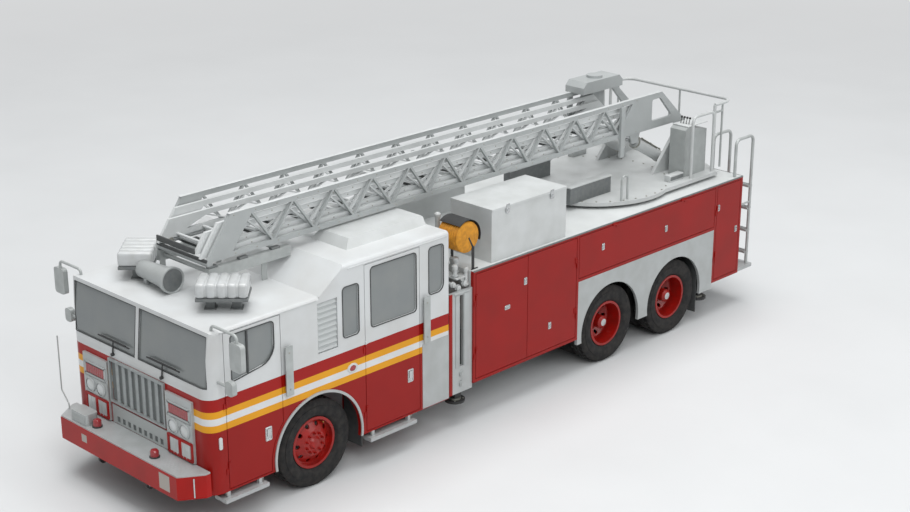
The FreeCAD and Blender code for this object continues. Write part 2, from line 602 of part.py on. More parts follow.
def lip(at, sign):
    """The end of a rim: its inner surface, the lip and the step down to the bead seat."""
    inner = d.rim_radius - d.rim_wall
    return [(at, inner), (at, d.rim_lip), (at - sign * d.rim_wall, d.rim_lip),
            (at - sign * (d.rim_wall + 5), d.rim_radius)]


def front_wheel_profile():
    """A disc dished outwards round the hub, with a closed cap over the spindle."""
    bore = d.front_spindle + d.running_gap
    inner = d.rim_radius - d.rim_wall
    bore_end = d.front_cap - d.cap_wall
    dish, disc_in = d.front_dish, d.front_disc_out - d.disc_wall - 4
    return [(0, bore), (bore_end, bore), (bore_end, 0), (d.front_cap, 0), (d.front_cap, 55),
            (d.front_disc_out, 78), (d.front_disc_out, 150), (dish, inner - 24), (dish, inner),
            *lip(d.front_rim_half, 1), *reversed(lip(-d.front_rim_half, -1)),
            (dish - d.disc_wall, inner), (dish - d.disc_wall, inner - 30),
            (disc_in, 146), (disc_in, d.front_hub), (0, d.front_hub)]


def rear_wheel_profile():
    """Two rims back to back on one hub, their discs bolted together and dished deeply."""
    bore = d.rear_spindle + d.running_gap
    inner = d.rim_radius - d.rim_wall
    outer_end, inner_end = d.dual_offset + d.rear_rim_half, d.dual_offset - d.rear_rim_half
    side = [(d.disc_wall, d.rear_hub), (d.disc_wall, 175), (inner_end + d.disc_wall, inner - 19),
            (inner_end + d.disc_wall, inner), *lip(outer_end, 1), *reversed(lip(inner_end, -1)[1:]),
            (inner_end, inner - 12)]
    other = [(-along, radius) for along, radius in reversed(side)]
    hub_end = -(outer_end + d.hub_overhang)
    cap = d.rear_cap - d.hub_overhang
    return [(hub_end, bore), (cap, bore), (cap, 0), (d.rear_cap, 0),
            (d.rear_cap, 55), (d.rear_cap - 27, 85), (d.disc_wall, 97), *side[1:], (0, 190),
            *other, (hub_end, d.rear_hub)]


def wheel(name, profile, centre, sign):
    """A turned disc wheel with a ring of round hand holes through its disc."""
    body = turned(name, profile, centre, sign)
    holes = new_sketch(body, name + "_hole", "YZ_Plane")
    ring(holes, d.hand_hole_circle, 0, d.hand_hole)
    pocket = body.newObject("PartDesign::Pocket", name + "_hole_cut")
    pocket.Profile = holes
    pocket.SideType = "Symmetric"
    bind(pocket, "Length", d.wheel_reach)
    pattern = body.newObject("PartDesign::PolarPattern", name + "_holes")
    pattern.Originals = [pocket]
    pattern.Axis = (holes, ["N_Axis"])
    pattern.Angle = 360
    pattern.Occurrences = SIZES["hand_holes"]
    body.Tip = pattern
    return body


def tyre_profile(half, rim_half, at=0):
    bead = d.rim_radius + d.running_gap
    seat = rim_half - d.rim_wall - 6
    side = [(seat, bead), (seat, d.rim_lip + 3), (half - 6, d.rim_lip + 45), (half, d.rim_lip + 110),
            (half - d.tread_inset, d.tyre_radius)]
    return [(at + along, radius) for along, radius in side] \
        + [(at - along, radius) for along, radius in reversed(side)]


for side, sign in SIDES:
    centre = (sign * d.front_wheel_at, d.front_axle_at, d.wheel_height)
    node(wheel(f"front_wheel_{side}", front_wheel_profile(), centre, sign))
    node(turned(f"front_tyre_{side}", tyre_profile(d.front_tyre_half, d.front_rim_half), centre, sign))
    for number, at in ((1, d.rear_axle_at), (2, d.rear_axle_at + d.tandem_spacing)):
        centre = (sign * d.rear_wheel_at, at, d.wheel_height)
        node(wheel(f"rear_wheel_{number}_{side}", rear_wheel_profile(), centre, sign))
        rings = [turned(f"rear_tyre_{number}_{side}_{where}",
                        tyre_profile(d.rear_tyre_half, d.rear_rim_half, offset), centre, sign)
                 for where, offset in (("outer", d.dual_offset), ("inner", -d.dual_offset))]
        node(together(f"rear_tyres_{number}_{side}", rings))

# ---------------------------------------------------------------- rear axles

axle_end = d.rear_wheel_at + d.rear_cap - d.hub_overhang - d.web_gap
axle_half = [(d.banjo_half, d.banjo_radius), (d.banjo_half + d.axle_tube, d.axle_tube),
             (d.axle_tube_end, d.axle_tube), (d.axle_tube_end, d.rear_spindle),
             (axle_end, d.rear_spindle), (axle_end, 0)]
axle_outline = axle_half + [(-along, radius) for along, radius in reversed(axle_half)]
second_axle_at = d.rear_axle_at + d.tandem_spacing
axles = [turned(f"axle_housing_{number}", axle_outline, (0, at, d.wheel_height))
         for number, at in ((1, d.rear_axle_at), (2, second_axle_at))]
bogie_middle = d.rear_axle_at + d.tandem_spacing / 2
saddle = d.wheel_height + d.axle_tube - d.web_gap
walking_beam = [(d.rear_axle_at - d.bogie_seat, saddle), (d.rear_axle_at + d.bogie_seat, saddle),
                (bogie_middle - d.bogie_top, saddle + d.bogie_rise),
                (bogie_middle + d.bogie_top, saddle + d.bogie_rise),
                (second_axle_at - d.bogie_seat, saddle), (second_axle_at + d.bogie_seat, saddle),
                (second_axle_at + d.bogie_seat, saddle + d.bogie_depth),
                (bogie_middle + d.bogie_top, d.rail_bottom), (bogie_middle - d.bogie_top, d.rail_bottom),
                (d.rear_axle_at - d.bogie_seat, saddle + d.bogie_depth)]
bogie_beam = prism("bogie_beam", "side", walking_beam, d.spring_inner, d.spring_inner + d.spring_width)
node(join("rear_axles", [*axles, *both("bogie_beam", bogie_beam), shaft]))

# ---------------------------------------------------------------- cab

def cab_form(name, inset, bottom):
    """The cab's outer form, or with an inset the space inside it."""
    half = d.cab_half - inset
    front, rear = d.cab_front + inset, d.cab_rear - inset
    low, high = d.low_roof - inset, d.raised_roof - inset
    side = prism(name + "_side", "side",
                 [(front, bottom), (rear, bottom), (rear, high), (d.slope_rear + inset / 2, high),
                  (d.slope_front + inset / 2, low), (front + d.glass_top_back, low),
                  (front, d.glass_sill)],
                 -half, half)
    corner = d.cab_corner - inset
    plan = prism(name + "_plan", "plan",
                 [(-half, rear), (-half, front, corner), (half, front, corner), (half, rear)],
                 bottom, d.raised_roof)
    ends = []
    for part, top, start, end in (("low", low, front, d.slope_rear),
                                  ("raised", high, d.slope_front, rear)):
        ends.append(prism(f"{name}_{part}", "front",
                          [(-half, bottom), (half, bottom), (half, top, d.cab_edge),
                           (-half, top, d.cab_edge)],
                          start, end))
    return common(name, side, plan, join(name + "_ends", ends))


skin_inner = d.cab_half - d.cab_wall
skin_cut = (skin_inner - d.weld, d.cab_half + d.weld)
# front, rear, sill at the front, sill at the rear, top, lower rear corner's radius
WINDOWS = {
    "front_door": (size(660), size(1230), size(1670), size(1760), size(2190), size(170)),
    "middle": (size(2220), size(2450), size(1700), size(1700), size(2290), size(40)),
    "crew_door": (size(2640), size(3340), size(1710), size(1710), size(2420), size(40)),
    "rear": (size(3550), size(3780), size(1850), size(1850), size(2420), size(90)),
}
# front, rear, top, heights of the two hinges
DOORS = {
    "front": (d.front_door_front, d.front_door_rear, d.front_door_top, (size(700), size(1450))),
    "crew": (d.crew_door_front, d.crew_door_rear, d.crew_door_top, (size(700), size(1500))),
}


def window(name, outline, grow=0):
    """A window's outline on the cab's left side, moved outwards or inwards by grow."""
    front, rear, low_front, low_rear, top, radius = outline
    corner = d.pane_corner
    return prism(name, "side",
                 [(front - grow, low_front - grow, corner), (rear + grow, low_rear - grow, radius),
                  (rear + grow, top + grow, corner), (front - grow, top + grow, corner)],
                 *skin_cut)


def pane(name, which):
    """Glass in a side window, halfway through the wall."""
    front, rear, low, _, top, _ = WINDOWS[which]
    outer = d.cab_half - d.pane_inset
    sheet_of_glass = block(name + "_sheet", (outer - d.pane, outer), (front, rear), (low, top))
    return common(name, sheet_of_glass, window(name + "_outline", WINDOWS[which], -d.running_gap))


def door_outline(name, which, gap):
    """A doorway with no gap, or the door that fits it with one."""
    front, rear, top, _ = DOORS[which]
    leaf = block(name + "_leaf", skin_cut, (front + gap, rear - gap), (d.door_bottom + gap, top - gap))
    arch = rod(name + "_arch", "x", (skin_inner - d.cab_wall, d.front_axle_at, d.wheel_height),
               d.arch_radius + d.arch_lip + gap, d.cab_wall * 3)
    return cut(name, leaf, arch)


cab_outer = cab_form("cab_outer", 0, d.cab_bottom)
cab_inner = cab_form("cab_inner", d.cab_wall, d.cab_bottom - d.weld)
cab_skin = cut("cab_skin", cab_outer, cab_inner)
arch_cut = rod("arch_cut", "x", (d.tunnel_half, d.front_axle_at, d.wheel_height), d.arch_radius,
               d.cab_half - d.tunnel_half + d.weld)
recess = block("side_recess", (d.cab_half - d.recess_depth, d.cab_half + d.weld),
               (d.recess_front, d.recess_rear), (d.recess_bottom, d.recess_top))
openings = [arch_cut, recess]
for which in DOORS:
    openings.append(door_outline(f"{which}_doorway", which, size(0)))
for which in ("middle", "rear"):
    openings.append(window(f"{which}_window", WINDOWS[which]))
side_openings = join("side_openings", openings)
through_front = (d.cab_front - d.weld, d.cab_front + d.cab_wall + d.weld)
through_rear = (d.cab_rear - d.cab_wall - d.weld, d.cab_rear + d.weld)
screen = block("screen", (d.screen_inner, d.screen_outer),
               (d.cab_front - d.weld, d.cab_front + d.screen_reach), (d.screen_bottom, d.screen_top))
grille_inner = d.grille_half - d.grille_frame
air_intake = block("air_intake", (-grille_inner, grille_inner), through_front,
                   (d.grille_bottom + d.grille_frame, d.grille_top - d.grille_frame))
low_intake = block("low_intake", (-grille_inner, grille_inner), through_front,
                   (d.louvre_bottom + d.grille_frame / 2, d.louvre_bottom + d.grille_frame + d.slot_height))
horn_outer = d.rail_outer + d.tow_plate + d.door_gap
horn_slot = block("horn_slot", (-horn_outer, horn_outer), through_front,
                  (d.cab_bottom - d.weld, d.rail_bottom + d.door_gap))
rail_slot = block("rail_slot", (-(d.rail_outer + d.door_gap), d.rail_outer + d.door_gap), through_rear,
                  (d.cab_bottom - d.weld, d.rail_top + d.door_gap))
cab_open = cut("cab_open", cab_skin, *both("side_openings", side_openings), *both("screen", screen),
               air_intake, low_intake, horn_slot, rail_slot)


def step_well(name, front, rear, top):
    """The box under the floor behind a door, with a step half way up; it stays clear of the door."""
    end = skin_inner - d.door_gap
    outer = block(name + "_outer", (d.well_inner, end), (front - d.well_wall, rear + d.well_wall),
                  (d.cab_bottom, top + d.weld))
    inner = block(name + "_inner", (d.well_inner + d.well_wall, end + d.weld), (front, rear),
                  (d.door_bottom, top + 2 * d.weld))
    sill = block(name + "_sill", (end - d.weld, skin_inner + d.weld), (front, rear),
                 (d.cab_bottom, d.door_bottom))
    tread = block(name + "_tread", (d.well_inner, d.well_inner + d.well_tread),
                  (front - d.weld, rear + d.weld), (d.well_step, d.well_step + d.well_wall))
    return join(name, [cut(name + "_box", outer, inner), sill, tread])


def floor_plate(name, front, rear, low, high):
    end = skin_inner - d.door_gap
    return block(name, (-end, end), (front, rear), (low, high))


well_rear = d.front_axle_at - d.arch_radius - d.arch_lip - d.well_wall
front_well = step_well("front_well", d.front_door_front, well_rear, d.front_floor)
crew_well = step_well("crew_well", d.crew_door_front, d.crew_door_rear, d.main_floor)
low_floor = floor_plate("low_floor", d.cab_front + d.cab_wall - d.weld, d.floor_riser, d.front_floor,
                        d.front_floor + d.floor_wall)
riser = floor_plate("riser", d.floor_riser - d.floor_wall, d.floor_riser, d.front_floor,
                    d.main_floor + d.floor_wall)
high_floor = floor_plate("high_floor", d.floor_riser - d.weld, d.cab_rear - d.cab_wall + d.weld,
                         d.main_floor, d.main_floor + d.floor_wall)
arch_floor = block("arch_floor", (-skin_inner - d.weld, skin_inner + d.weld),
                   (d.front_door_rear + d.arch_lip, d.crew_door_front - d.arch_lip),
                   (d.main_floor, d.main_floor + d.floor_wall))
floor_trim = common("floor_parts", join("floors", [low_floor, riser, high_floor, arch_floor]), cab_outer)
cab_hinges, door_hinges = [], {which: [] for which in DOORS}
for which, (front, _, _, heights) in DOORS.items():
    for number, height in enumerate(heights):
        fixed, moving = hinge(f"{which}_hinge_{number}", "z", d.cab_half + d.hinge_radius,
                              front + d.door_gap / 2, height, 1)
        cab_hinges += both(f"{which}_hinge_{number}_fixed", fixed)
        door_hinges[which].append(moving)
node(join("cab_shell", [cab_open, floor_trim, *both("front_well", front_well),
                        *both("crew_well", crew_well), *cab_hinges]))

for which in DOORS:
    blank = common(f"{which}_door_blank", cab_skin, door_outline(f"{which}_door_outline", which, d.door_gap))
    leaf = cut(f"{which}_door_leaf", blank, window(f"{which}_door_window", WINDOWS[f"{which}_door"]))
    door = node(join(f"{which}_door_left", [leaf, *door_hinges[which]]))
    node(mirrored(f"{which}_door_right", door))
    glass = node(pane(f"{which}_door_glass_left", f"{which}_door"))
    node(mirrored(f"{which}_door_glass_right", glass))

# the windscreen's two panes wrap round the cab's front corners, halfway through the wall
glass_sheet = cut("glass_sheet", cab_form("glass_outer", d.pane_inset, d.front_floor),
                  cab_form("glass_inner", d.pane_inset + d.pane, d.front_floor))
screen_space = block("screen_space", (d.screen_inner + d.running_gap, d.screen_outer - d.running_gap),
                     (d.cab_front, d.cab_front + d.screen_reach - d.running_gap),
                     (d.screen_bottom + d.running_gap, d.screen_top - d.running_gap))
fixed_panes = [*both("screen_pane", common("screen_pane", glass_sheet, screen_space))]
for which in ("middle", "rear"):
    fixed_panes += both(f"{which}_pane", pane(f"{which}_pane", which))
node(together("cab_glass", fixed_panes))

# seats and dashboard
dash_front = d.cab_front + d.cab_wall + d.dash_gap / 2
dash = prism("dash", "side", [(dash_front, d.dash_low), (d.dash_face, d.dash_low),
                              (d.dash_rear, d.dash_lip, d.dash_edge),
                              (d.dash_face + d.dash_edge, d.dash_brow, d.dash_edge),
                              (dash_front, d.dash_high)],
             -skin_inner + d.dash_gap, skin_inner - d.dash_gap)
dash_foot = block("dash_foot", (-d.dash_foot_half, d.dash_foot_half), (dash_front, d.dash_face - d.dash_edge),
                  (d.front_floor + d.floor_wall, d.dash_low + d.weld))
column = rod("column", "y", (d.hand_wheel_at, d.column_front, d.hand_wheel_height), d.column_radius,
             d.hand_wheel_front + d.weld - d.column_front)
wheel_centre = (d.hand_wheel_at, d.hand_wheel_front, d.hand_wheel_height)
rim_inner = d.hand_wheel_radius - d.hand_rim
hand_rim = cut("hand_rim", rod("rim_disc", "y", wheel_centre, d.hand_wheel_radius, d.hand_wheel_wall),
               rod("rim_hole", "y", wheel_centre, rim_inner, d.hand_wheel_wall))
hand_spokes = block("hand_spokes",
                    (d.hand_wheel_at - rim_inner - d.weld, d.hand_wheel_at + rim_inner + d.weld),
                    (d.hand_wheel_front + d.hand_spoke_inset,
                     d.hand_wheel_front + d.hand_wheel_wall - d.hand_spoke_inset),
                    (d.hand_wheel_height - d.hand_rim, d.hand_wheel_height + d.hand_rim))
hand_hub = rod("hand_hub", "y", wheel_centre, 2 * d.hand_rim, d.hand_wheel_wall)
floor_top = d.main_floor + d.floor_wall
# name, inner side, outer side, front, rear, height of the cushion
SEATS = (("front_seat_left", 330, 900, 1260, 1760, 250), ("front_seat_right", -900, -330, 1260, 1760, 250),
         ("bench", -1000, 1000, 3230, 3780, 400))
seats = []
for name, inner, outer, front, rear, height in SEATS:
    cushion = floor_top + height
    front, rear = size(front), size(rear)
    seats.append(prism(name, "side",
                       [(front + d.seat_toe, floor_top), (rear, floor_top),
                        (rear, cushion + d.back_height, d.seat_edge),
                        (rear - d.back_depth, cushion + d.back_height, d.seat_edge),
                        (rear - d.back_depth - d.seat_edge, cushion), (front, cushion, d.seat_edge),
                        (front, cushion - d.cushion_depth, d.seat_edge),
                        (front + d.seat_toe, cushion - d.cushion_depth)],
                       size(inner), size(outer)))
dash_and_wheel = join("dash_and_wheel", [dash, dash_foot, column, hand_rim, hand_spokes, hand_hub])
node(together("cab_interior", [dash_and_wheel, *seats]))

# ---------------------------------------------------------------- front end

def bumper_plan(inset, back=0):
    """The bumper seen from above, made smaller by inset all round and open at the back by back."""
    return [(-d.bumper_half + inset, d.bumper_rear + back), (-d.bumper_half + inset, d.bumper_back),
            (-d.bumper_face_half + inset / 2, inset), (d.bumper_face_half - inset / 2, inset),
            (d.bumper_half - inset, d.bumper_back), (d.bumper_half - inset, d.bumper_rear + back)]


bumper_solid = prism("bumper_solid", "plan", bumper_plan(size(0)), d.bumper_bottom, d.bumper_top)
bumper_hollow = prism("bumper_hollow", "plan", bumper_plan(d.bumper_wall, d.weld), d.bumper_bottom - d.weld,
                      d.bumper_top + d.weld)
node(cut("front_bumper", bumper_solid, bumper_hollow))

deck_top = d.bumper_top + d.deck_plate
treads = [prism("bumper_deck", "plan", bumper_plan(d.deck_inset), d.bumper_top, deck_top)]


def hung_step(name, front, rear):
    """A tread below the cab on two straps."""
    low = d.step_height - d.step_plate
    plate = block(name + "_plate", (d.step_inner, d.step_outer), (front, rear), (low, d.step_height))
    straps = [block(f"{name}_strap_{end}", (skin_inner, d.cab_half), (at, at + d.strap), (low, d.cab_bottom))
              for end, at in (("front", front + d.strap_inset), ("rear", rear - d.strap_inset - d.strap))]
    return join(name, [plate, *straps])


for name, front, rear in (("front_step", 470, 1060), ("crew_step", 2560, 3290)):
    treads += both(name, hung_step(name, size(front), size(rear)))
treads.append(block("rear_step", (-d.body_half, d.body_half), (d.body_rear, d.overall_length),
                    (d.step_top - d.step_wall, d.step_top)))
node(together("tread_plates", treads))

grille_y = (d.cab_front - d.grille_proud, d.cab_front)
grille_plate = block("grille_plate", (-d.grille_half, d.grille_half), grille_y,
                     (d.grille_bottom, d.grille_top))
grille_hole = block("grille_hole", (-grille_inner, grille_inner),
                    (grille_y[0] - d.weld, grille_y[1] + d.weld),
                    (d.grille_bottom + d.grille_frame, d.grille_top - d.grille_frame))
bars = [cut("grille_surround", grille_plate, grille_hole)]
bar_count = SIZES["grille_bars"]
for number in range(bar_count):
    middle = -grille_inner + grille_inner * 2 * ((number + 1) / (bar_count + 1))
    side = d.grille_bar / 2
    bars.append(prism(f"grille_bar_{number}", "plan",
                      [(middle - side, grille_y[1]), (middle - side, grille_y[0] + d.bar_nose),
                       (middle, grille_y[0] + d.bar_nose / 4), (middle + side, grille_y[0] + d.bar_nose),
                       (middle + side, grille_y[1])],
                      d.grille_bottom + d.weld, d.grille_top - d.weld))
louvre_plate = block("louvre_plate", (-d.grille_half, d.grille_half),
                     (d.cab_front - d.louvre_proud, d.cab_front), (d.louvre_bottom, d.louvre_top))
slot_low = d.louvre_bottom + d.slot_low
slots = []
for number in range(SIZES["slots"]):
    middle = d.slot_pitch * (number - (SIZES["slots"] - 1) / 2)
    slots.append(block(f"slot_{number}", (middle - d.slot_length / 2, middle + d.slot_length / 2),
                       (d.cab_front - d.louvre_proud - d.weld, d.cab_front + d.weld),
                       (slot_low, slot_low + d.slot_height)))
vent_face = d.cab_half - d.recess_depth + d.running_gap
vent_inset = d.running_gap
vent = [block("vent_back", (vent_face, vent_face + d.slat_wall / 2),
              (d.recess_front + vent_inset, d.recess_rear - vent_inset),
              (d.recess_bottom + vent_inset, d.recess_top - vent_inset))]
vent_pitch = (d.recess_top - d.recess_bottom) / SIZES["recess_slats"]
for number in range(SIZES["recess_slats"]):
    low = d.recess_bottom + vent_pitch * (number + 0.25)
    vent.append(prism(f"vent_slat_{number}", "front",
                      [(vent_face, low), (d.cab_half - d.running_gap, low),
                       (vent_face, low + vent_pitch / 2)],
                      d.recess_front + d.slat_wall, d.recess_rear - d.slat_wall))
node(together("grille", [join("grille_upper", bars), cut("grille_lower", louvre_plate, *slots),
                         *both("side_vent", join("side_vent", vent))]))

lamp_face = d.cab_front - d.lamp_panel_proud
lamp_middle = (d.lamp_panel_inner + d.lamp_panel_outer) / 2
lamp_plate = block("lamp_plate", (d.lamp_panel_inner, d.lamp_panel_outer), (lamp_face, d.cab_front),
                   (d.lamp_panel_bottom, d.lamp_panel_top))
lens_depth = (lamp_face - d.lens_proud, lamp_face + d.lens_depth)
# name, half its width, half its height, height of its middle
SQUARE_LAMPS = (("warning_lamp", 170, 62, 1290), ("signal_lamp", 170, 95, 862))
# name, offset from the panel's middle, height, radius
ROUND_LAMPS = (("head_inner", -100, 1095, 76), ("head_outer", 100, 1095, 76))
sockets, lenses = [], []
for name, half, rise, height in SQUARE_LAMPS:
    for kind, spare, depth, pile in (("socket", 0, (lamp_face - d.weld, lens_depth[1]), sockets),
                                     ("lens", d.running_gap, lens_depth, lenses)):
        pile.append(block(f"{name}_{kind}", (lamp_middle - half + spare, lamp_middle + half - spare), depth,
                          (size(height - rise) + spare, size(height + rise) - spare)))
for name, offset, height, radius in ROUND_LAMPS:
    for kind, spare, start, pile in (("socket", 0, lamp_face - d.weld, sockets),
                                     ("lens", d.running_gap, lens_depth[0] - d.lens_proud, lenses)):
        pile.append(rod(f"{name}_{kind}", "y", (lamp_middle + offset, start, size(height)),
                        size(radius) - spare, lens_depth[1] - start))
lamp_panel = cut("lamp_panel", lamp_plate, *sockets)
speaker = prism("speaker", "plan", [(-d.speaker_outer, d.speaker_front, d.speaker_edge),
                                    (-d.speaker_inner, d.speaker_front, d.speaker_edge),
                                    (-d.speaker_inner, d.speaker_rear, d.speaker_edge),
                                    (-d.speaker_outer, d.speaker_rear, d.speaker_edge)],
                deck_top + d.running_gap, deck_top + d.speaker_height)
node(together("lamp_panels", [*both("lamp_panel", lamp_panel), speaker]))
siren_lamp = rod("siren_lamp", "z", (d.siren_lamp_at, d.siren_lamp_station, deck_top + d.running_gap),
                 d.siren_lamp_radius, d.siren_lamp_height)
node(together("lamps", both("lens_group", together("lens_group", [*lenses, siren_lamp]))))

# roof lights: a box of lamps set across each front corner and a siren between them
foot_base = -(d.bar_lift - d.running_gap)
box_middle = d.overall_length / 2
bar_box = prism("bar_box", "side",
                [(box_middle - d.bar_depth, size(0)), (box_middle + d.bar_depth, size(0)),
                 (box_middle + d.bar_depth, d.bar_height - d.bar_bevel),
                 (box_middle + d.bar_depth - d.bar_bevel, d.bar_height),
                 (box_middle - d.bar_depth + d.bar_bevel, d.bar_height),
                 (box_middle - d.bar_depth, d.bar_height - d.bar_bevel)],
                -d.bar_length / 2, d.bar_length / 2)
bar_feet = [block(f"bar_foot_{end}", (side - d.bar_foot, side + d.bar_foot),
                  (box_middle - d.bar_foot, box_middle + d.bar_foot), (foot_base, d.weld))
            for end, side in (("inner", -d.bar_length / 4), ("outer", d.bar_length / 4))]
light_bar = join("light_bar", [bar_box, *bar_feet])
light_bar.Placement.Rotation = FreeCAD.Rotation(FreeCAD.Vector(0, 0, 1), 45)
bind(light_bar, "Placement.Rotation.Angle", lean_of(d.bar_run, d.bar_sweep))
place(light_bar, d.bar_at, d.bar_station, d.low_roof + d.bar_lift)
siren_high = d.low_roof + d.siren_radius + d.running_gap
siren_horn = turned("siren_horn", [(0, 0), (0, d.siren_radius), (d.siren_rim, d.siren_radius),
                                   (d.siren_rim, d.siren_neck), (d.siren_length - d.siren_rim, d.siren_end),
                                   (d.siren_length, d.siren_end - d.siren_rim), (d.siren_length, 0)],
                    (d.siren_at, d.siren_station, siren_high), -1)
siren_foot = block("siren_foot", (d.siren_at - d.siren_length * 0.8, d.siren_at - d.siren_rim),
                   (d.siren_station - d.bar_foot, d.siren_station + d.bar_foot),
                   (d.low_roof + d.running_gap, siren_high))
node(together("roof_lights", [*both("light_bar", light_bar), join("siren", [siren_horn, siren_foot])]))

unit = prism("unit", "side", [(d.unit_front, d.raised_roof), (d.unit_rear, d.raised_roof),
                              (d.unit_rear, d.unit_top - d.unit_rear_bevel),
                              (d.unit_rear - d.unit_rear_bevel, d.unit_top),
                              (d.unit_front + d.unit_bevel, d.unit_top)],
             d.unit_inner, d.unit_outer)
unit_front_view = prism("unit_front_view", "front",
                        [(d.unit_inner, d.raised_roof), (d.unit_outer, d.raised_roof),
                         (d.unit_outer - d.unit_side_bevel, d.unit_top),
                         (d.unit_inner + d.unit_side_bevel, d.unit_top)],
                        d.unit_front, d.unit_rear)
roof_unit = common("roof_unit", unit, unit_front_view)

# the ladder's cradle over the cab's roof
cradle_parts = []
for end, front in (("front", d.rest_front), ("rear", d.rest_leg_rear)):
    cradle_parts.append(block(f"cradle_leg_{end}", (d.rest_inner, d.rest_inner + d.rest_wall),
                              (front, front + d.rest_leg),
                              (d.low_roof + d.running_gap, d.rest_top - d.rest_depth + d.weld)))
cradle_channel = block("cradle_channel", (d.rest_inner, d.rest_outer), (d.rest_front, d.rest_rear),
                       (d.rest_top - d.rest_depth, d.rest_top))
cradle_side = join("cradle_side", [*cradle_parts, cradle_channel])
cradle_bars = [rod(f"cradle_bar_{end}", "x", (-d.rest_inner - d.weld, at, d.rest_top - d.rest_depth / 2),
                   d.column_radius, 2 * (d.rest_inner + d.weld))
               for end, at in (("front", d.rest_front + d.rest_leg), ("rear", d.rest_rear - d.rest_leg))]
cradle = join("cradle", [*both("cradle_side", cradle_side), *cradle_bars])


def grab_bar(name, at):
    """A flat hand bar on two feet beside a door."""
    outer = d.cab_half + d.grab_proud
    start = d.cab_half + d.running_gap
    foot = d.grab_foot
    parts = [block(name + "_bar", (outer - d.grab_wall, outer),
                   (at - d.grab_width / 2, at + d.grab_width / 2), (d.grab_low, d.grab_high))]
    for end, height in (("low", d.grab_low + foot), ("high", d.grab_high - 2 * foot)):
        parts.append(block(f"{name}_foot_{end}", (start, outer - d.grab_wall + d.weld),
                           (at - foot / 2, at + foot / 2), (height, height + foot)))
    return join(name, parts)


grabs = both("grab_front", grab_bar("grab_front", d.grab_front_at)) \
    + both("grab_crew", grab_bar("grab_crew", d.grab_crew_at))
arm_top = d.mirror_high + d.mirror_rise
mirror_arm = tube("mirror_arm", "front", [(d.mirror_root, d.low_roof + d.running_gap),
                                          (d.mirror_root, arm_top, d.mirror_bend),
                                          (d.mirror_at, arm_top, d.mirror_bend),
                                          (d.mirror_at, d.mirror_high - d.mirror_bend)],
                  d.mirror_station, d.mirror_arm)
# name, distance from the centre, half the width, low, high
HEADS = (("mirror_head", d.mirror_at, d.mirror_half, d.mirror_low, d.mirror_high),
         ("small_mirror_head", d.small_mirror_at, d.small_mirror_half,
          d.small_mirror_low, d.small_mirror_high))
heads = {name: prism(name, "front", [(at - half, low, d.pane_corner), (at + half, low, d.pane_corner),
                                     (at + half, high, d.pane_corner), (at - half, high, d.pane_corner)],
                     d.mirror_station - d.mirror_depth / 2, d.mirror_station + d.mirror_depth / 2)
         for name, at, half, low, high in HEADS}
small_mirror_middle = (d.small_mirror_low + d.small_mirror_high) / 2
small_arm = rod("small_mirror_arm", "x",
                (d.cab_half + d.running_gap, d.mirror_station, small_mirror_middle),
                d.mirror_arm, d.small_mirror_at - d.cab_half)
mirrors = both("mirror", join("mirror", [mirror_arm, heads["mirror_head"]])) \
    + both("small_mirror", join("small_mirror", [small_arm, heads["small_mirror_head"]]))
marker = tube("corner_marker", "front", [(-d.marker_foot, deck_top + d.running_gap),
                                         (-d.marker_foot, d.marker_bend_low, d.pane_corner),
                                         (-d.marker_head, d.marker_bend_high, d.pane_corner),
                                         (-d.marker_head, d.marker_top)],
              d.marker_station, d.marker_rod)

# ---------------------------------------------------------------- body

side_reach = d.body_half + d.weld
body_blank = block("body_blank", (-d.body_half, d.body_half), (d.body_front, d.body_rear),
                   (d.body_bottom, d.body_top))
tunnel = block("tunnel", (-d.tunnel_half, d.tunnel_half), (d.body_front - d.weld, d.body_rear - d.body_wall),
               (d.body_bottom - d.weld, d.tunnel_top))
wheel_well = block("wheel_well", (d.tunnel_half - d.weld, side_reach), (d.well_front, d.well_rear),
                   (d.body_bottom - d.weld, d.well_top))
# name, front, rear, bottom
LOCKERS = (("front", d.body_front + d.body_wall, d.well_front - d.body_wall, d.body_bottom + d.body_wall),
           ("middle", d.well_front, d.well_rear, d.well_top + d.body_wall),
           ("rear", d.well_rear + d.body_wall, d.body_rear - d.body_wall, d.body_bottom + d.body_wall))
locker_top = d.body_top - d.body_wall
spaces = [block(f"{name}_locker", (d.locker_inner, side_reach), (front, rear), (bottom, locker_top))
          for name, front, rear, bottom in LOCKERS]
side_cuts = join("body_side_cuts", [wheel_well, *spaces])
slew_ring = rod("slew_ring", "z", (0, d.slew_at, d.body_top), d.slew_ring, d.ring_height)
(front_start, front_end, low), (over_start, over_end, over_low), (rear_start, rear_end, rear_low) = \
    [locker[1:] for locker in LOCKERS]
middle = (front_start + front_end) / 2
# front, rear, bottom, the edge that is hinged
LOCKER_DOORS = ((front_start, middle + d.door_gap / 2, low, "front"),
                (middle - d.door_gap / 2, front_end, low, "rear"),
                (over_start, over_end, over_low, "top"), (rear_start, rear_end, rear_low, "front"))
hinge_x = d.body_half + d.hinge_radius
body_hinges = []
for number, (front, rear, bottom, edge) in enumerate(LOCKER_DOORS, start=1):
    parts = [block(f"locker_door_{number}_leaf", (d.body_half - d.body_wall, d.body_half),
                   (front + d.door_gap, rear - d.door_gap), (bottom + d.door_gap, locker_top - d.door_gap))]
    for share in (0.25, 0.75):
        name = f"locker_hinge_{number}_{len(parts)}"
        if edge == "top":
            fixed, moving = hinge(name, "y", hinge_x, front + (rear - front) * share,
                                  locker_top - d.door_gap / 2, -1)
        else:
            at, sign = (front + d.door_gap / 2, 1) if edge == "front" else (rear - d.door_gap / 2, -1)
            fixed, moving = hinge(name, "z", hinge_x, at, bottom + (locker_top - bottom) * share, sign)
        body_hinges += both(f"{name}_fixed", fixed)
        parts.append(moving)
    door = node(join(f"locker_door_{number}_left", parts))
    node(mirrored(f"locker_door_{number}_right", door))
